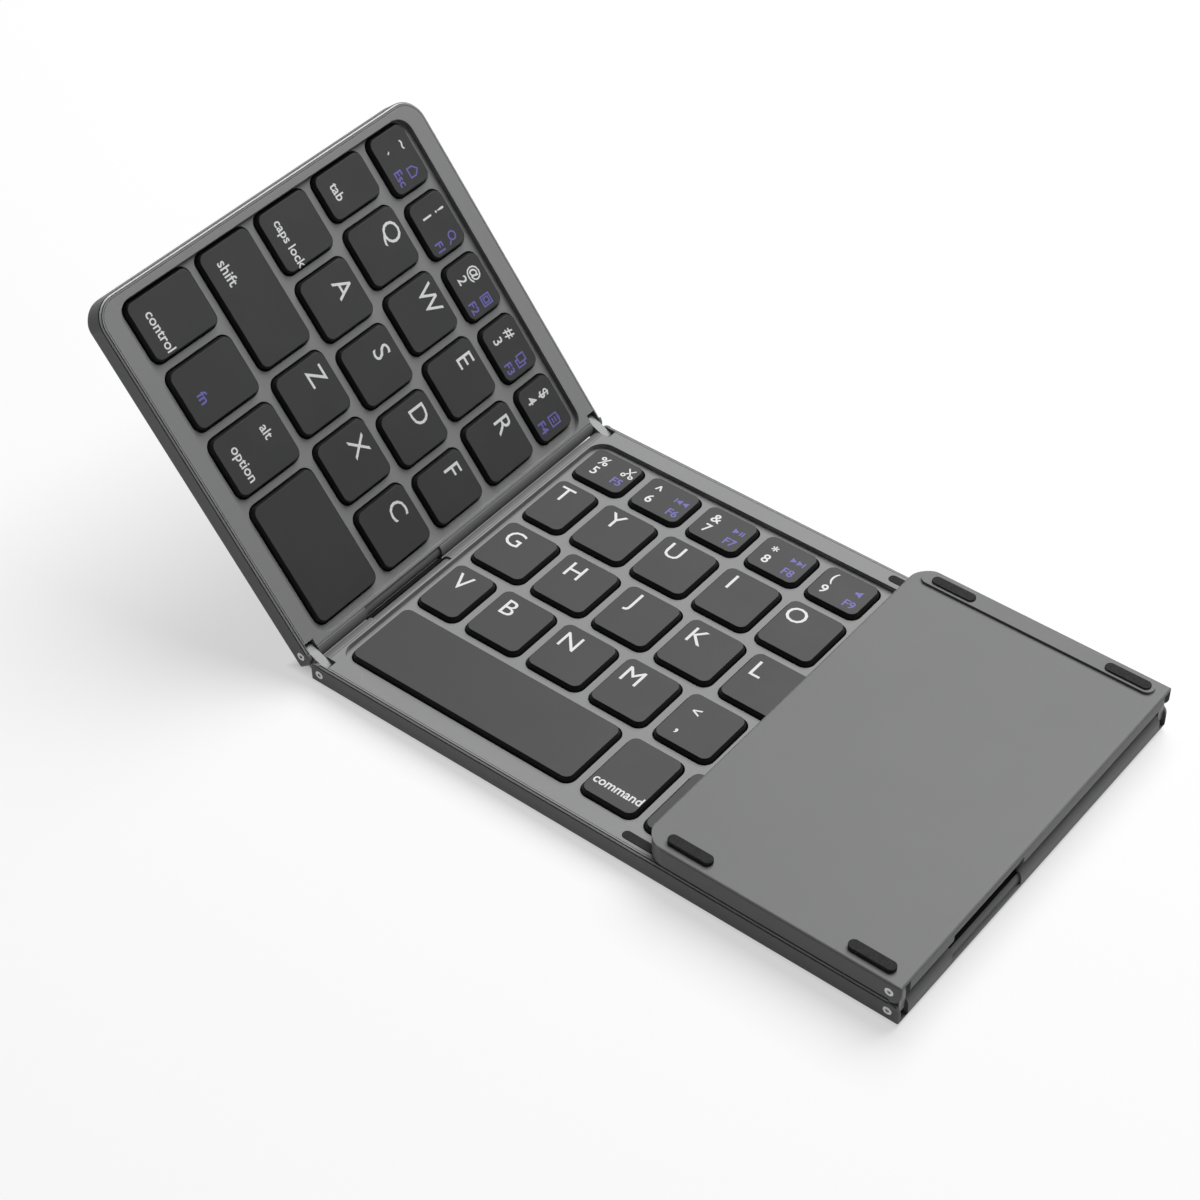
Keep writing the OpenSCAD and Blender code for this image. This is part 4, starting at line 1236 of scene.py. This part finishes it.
def outside_of(tree, low, high, soft):
    """0 over a box seen from above, 1 from soft metres outside it."""
    middle = (low + high) / 2
    place = add_node(tree, "ShaderNodeTexCoord").outputs["Object"]
    away = vector_node(tree, "ABSOLUTE", vector_node(tree, "SUBTRACT", place, middle))
    split = add_node(tree, "ShaderNodeSeparateXYZ", {0: away})
    sides = []
    for axis in (0, 1):
        reach = high[axis] - middle[axis]
        sides.append(between(tree, split.outputs[axis], 0.0, 1.0, reach, reach + soft))
    return math_node(tree, "MAXIMUM", *sides)


def floor_finish(stage):
    """Plain pale floor that reads white, apart from a painted shadow under the object, where its added
    light is taken away over the base and a soft edge round it, and apart from the object's cast
    shadow.
    """
    finish = Finish("pale_floor", {
        "Base Color": shaded(stage.floor), "Roughness": 1.0, "Specular IOR Level": 0.0,
    })
    tree = finish.tree
    edge = Vector((stage.floor_edge, stage.floor_edge, 0))
    low, high = (Vector(corner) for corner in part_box("centre_back_shell"))
    low, high = low + edge, high - edge
    # The painted shadow reaches under the left fold's links, so the floor seen through the fold's gap
    # is dark.
    low.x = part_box("left_hinge_links")[0][0] + edge.x / 2
    rays = add_node(tree, "ShaderNodeLightPath").outputs
    seen = math_node(tree, "MAXIMUM", rays["Is Camera Ray"], rays["Is Glossy Ray"])
    # Added light only for camera and glossy rays, and none inside the painted shadow under the base.
    clear = math_node(tree, "MULTIPLY", seen, outside_of(tree, low, high, stage.floor_edge))
    radius = add_node(tree, "ShaderNodeVectorMath", {0: finish.place}, operation="LENGTH")
    lift = between(
        tree, radius.outputs["Value"], stage.floor_lift, 1.0, LIFT_START, LIFT_END)
    glow = add_node(tree, "ShaderNodeEmission", {
        "Strength": math_node(tree, "MULTIPLY", clear, lift),
    })
    both = add_node(
        tree, "ShaderNodeAddShader", {0: finish.shader.outputs[0], 1: glow.outputs[0]})
    tree.links.new(both.outputs[0], tree.nodes["Material Output"].inputs["Surface"])
    return finish.material


def add_floor(stage):
    bm = bmesh.new()
    bmesh.ops.create_grid(bm, x_segments=1, y_segments=1, size=FLOOR_REACH)
    floor = link_object("floor", mesh_from(bm, "floor"))
    floor.data.materials.append(floor_finish(stage))


def add_soft_lamp(name, place, size, power):
    """A square lamp that faces the middle of the object."""
    data = bpy.data.lights.new(name, "AREA")
    data.shape = "SQUARE"
    data.size = size
    data.energy = power
    lamp = link_object(name, data)
    lamp.location = place
    lamp.rotation_euler = (-Vector(place)).to_track_quat("-Z", "Y").to_euler()


def add_lamps(stage):
    """A broad lamp above and behind, and a weaker one from the right."""
    add_soft_lamp("main_lamp", (-0.05, 0.7, 1.15), 1.2, stage.lamp_power)
    add_soft_lamp("fill_lamp", (1.2, 0.25, 0.55), 0.7, stage.fill_power)


def add_sky(strength):
    """Even light of that strength, seen as plain white by the camera."""
    world = bpy.data.worlds.new("studio")
    world.use_nodes = True
    tree = world.node_tree
    background = tree.nodes["Background"]
    background.inputs["Color"].default_value = (1, 1, 1, 1)
    rays = add_node(tree, "ShaderNodeLightPath").outputs
    seen = math_node(tree, "MAXIMUM", rays["Is Camera Ray"], rays["Is Transmission Ray"])
    tree.links.new(between(tree, seen, strength, 1.0, 0.0, 1.0), background.inputs["Strength"])
    bpy.context.scene.world = world


def add_camera(stage):
    """The camera at the viewing angle, with its roll."""
    a, e, r = stage.azimuth, stage.elevation, stage.roll
    back = Vector((math.sin(a) * math.cos(e), -math.cos(a) * math.cos(e), math.sin(e)))
    right = Vector((math.cos(a), math.sin(a), 0))
    up = back.cross(right)
    rolled_right = right * math.cos(r) + up * math.sin(r)
    rolled_up = up * math.cos(r) - right * math.sin(r)
    turn = Matrix((rolled_right, rolled_up, back)).transposed().to_4x4()
    data = bpy.data.cameras.new("camera")
    data.sensor_width = SENSOR_WIDTH
    data.lens = stage.lens
    data.clip_start, data.clip_end = 0.02, 20
    camera = link_object("camera", data)
    camera.matrix_world = Matrix.Translation(stage.camera_point) @ turn
    bpy.context.scene.camera = camera


# ---- Panel and registration ----

OPERATORS = (
    KEYBOARD_OT_back_shells,
    KEYBOARD_OT_decks,
    KEYBOARD_OT_hinges,
    KEYBOARD_OT_feet,
    KEYBOARD_OT_touchpad,
    KEYBOARD_OT_inner_parts,
    KEYBOARD_OT_key_caps,
    KEYBOARD_OT_legends,
    KEYBOARD_OT_stage,
)

GROUPS = {
    "keyboard_cap_sizes": KeyboardCapSizes,
    "keyboard_legend_sizes": KeyboardLegendSizes,
    "keyboard_edge_sizes": KeyboardEdgeSizes,
    "keyboard_colours": KeyboardColours,
    "keyboard_stage": KeyboardStage,
}


class KEYBOARD_PT_panel(bpy.types.Panel):
    """Lists the keyboard's pieces, sizes and colours"""

    bl_idname = "KEYBOARD_PT_panel"
    bl_label = "Folding Keyboard"
    bl_space_type = "VIEW_3D"
    bl_region_type = "UI"
    bl_category = "Keyboard"

    def draw(self, context):
        for operator in OPERATORS:
            self.layout.operator(operator.bl_idname)
        for name, group in GROUPS.items():
            box = self.layout.box()
            for prop in group.__annotations__:
                box.prop(getattr(context.scene, name), prop)


def register():
    for group in GROUPS.values():
        bpy.utils.register_class(group)
    for name, group in GROUPS.items():
        setattr(bpy.types.Scene, name, bpy.props.PointerProperty(type=group))
    for operator in OPERATORS:
        bpy.utils.register_class(operator)
    bpy.utils.register_class(KEYBOARD_PT_panel)


def unregister():
    bpy.utils.unregister_class(KEYBOARD_PT_panel)
    for operator in reversed(OPERATORS):
        bpy.utils.unregister_class(operator)
    for name, group in reversed(GROUPS.items()):
        delattr(bpy.types.Scene, name)
        bpy.utils.unregister_class(group)


def main():
    register()
    bpy.ops.keyboard.back_shells()
    bpy.ops.keyboard.decks()
    bpy.ops.keyboard.hinges()
    bpy.ops.keyboard.feet()
    bpy.ops.keyboard.touchpad()
    bpy.ops.keyboard.inner_parts()
    bpy.ops.keyboard.key_caps()
    bpy.ops.keyboard.legends()
    bpy.ops.keyboard.stage()


if __name__ == "__main__":
    main()
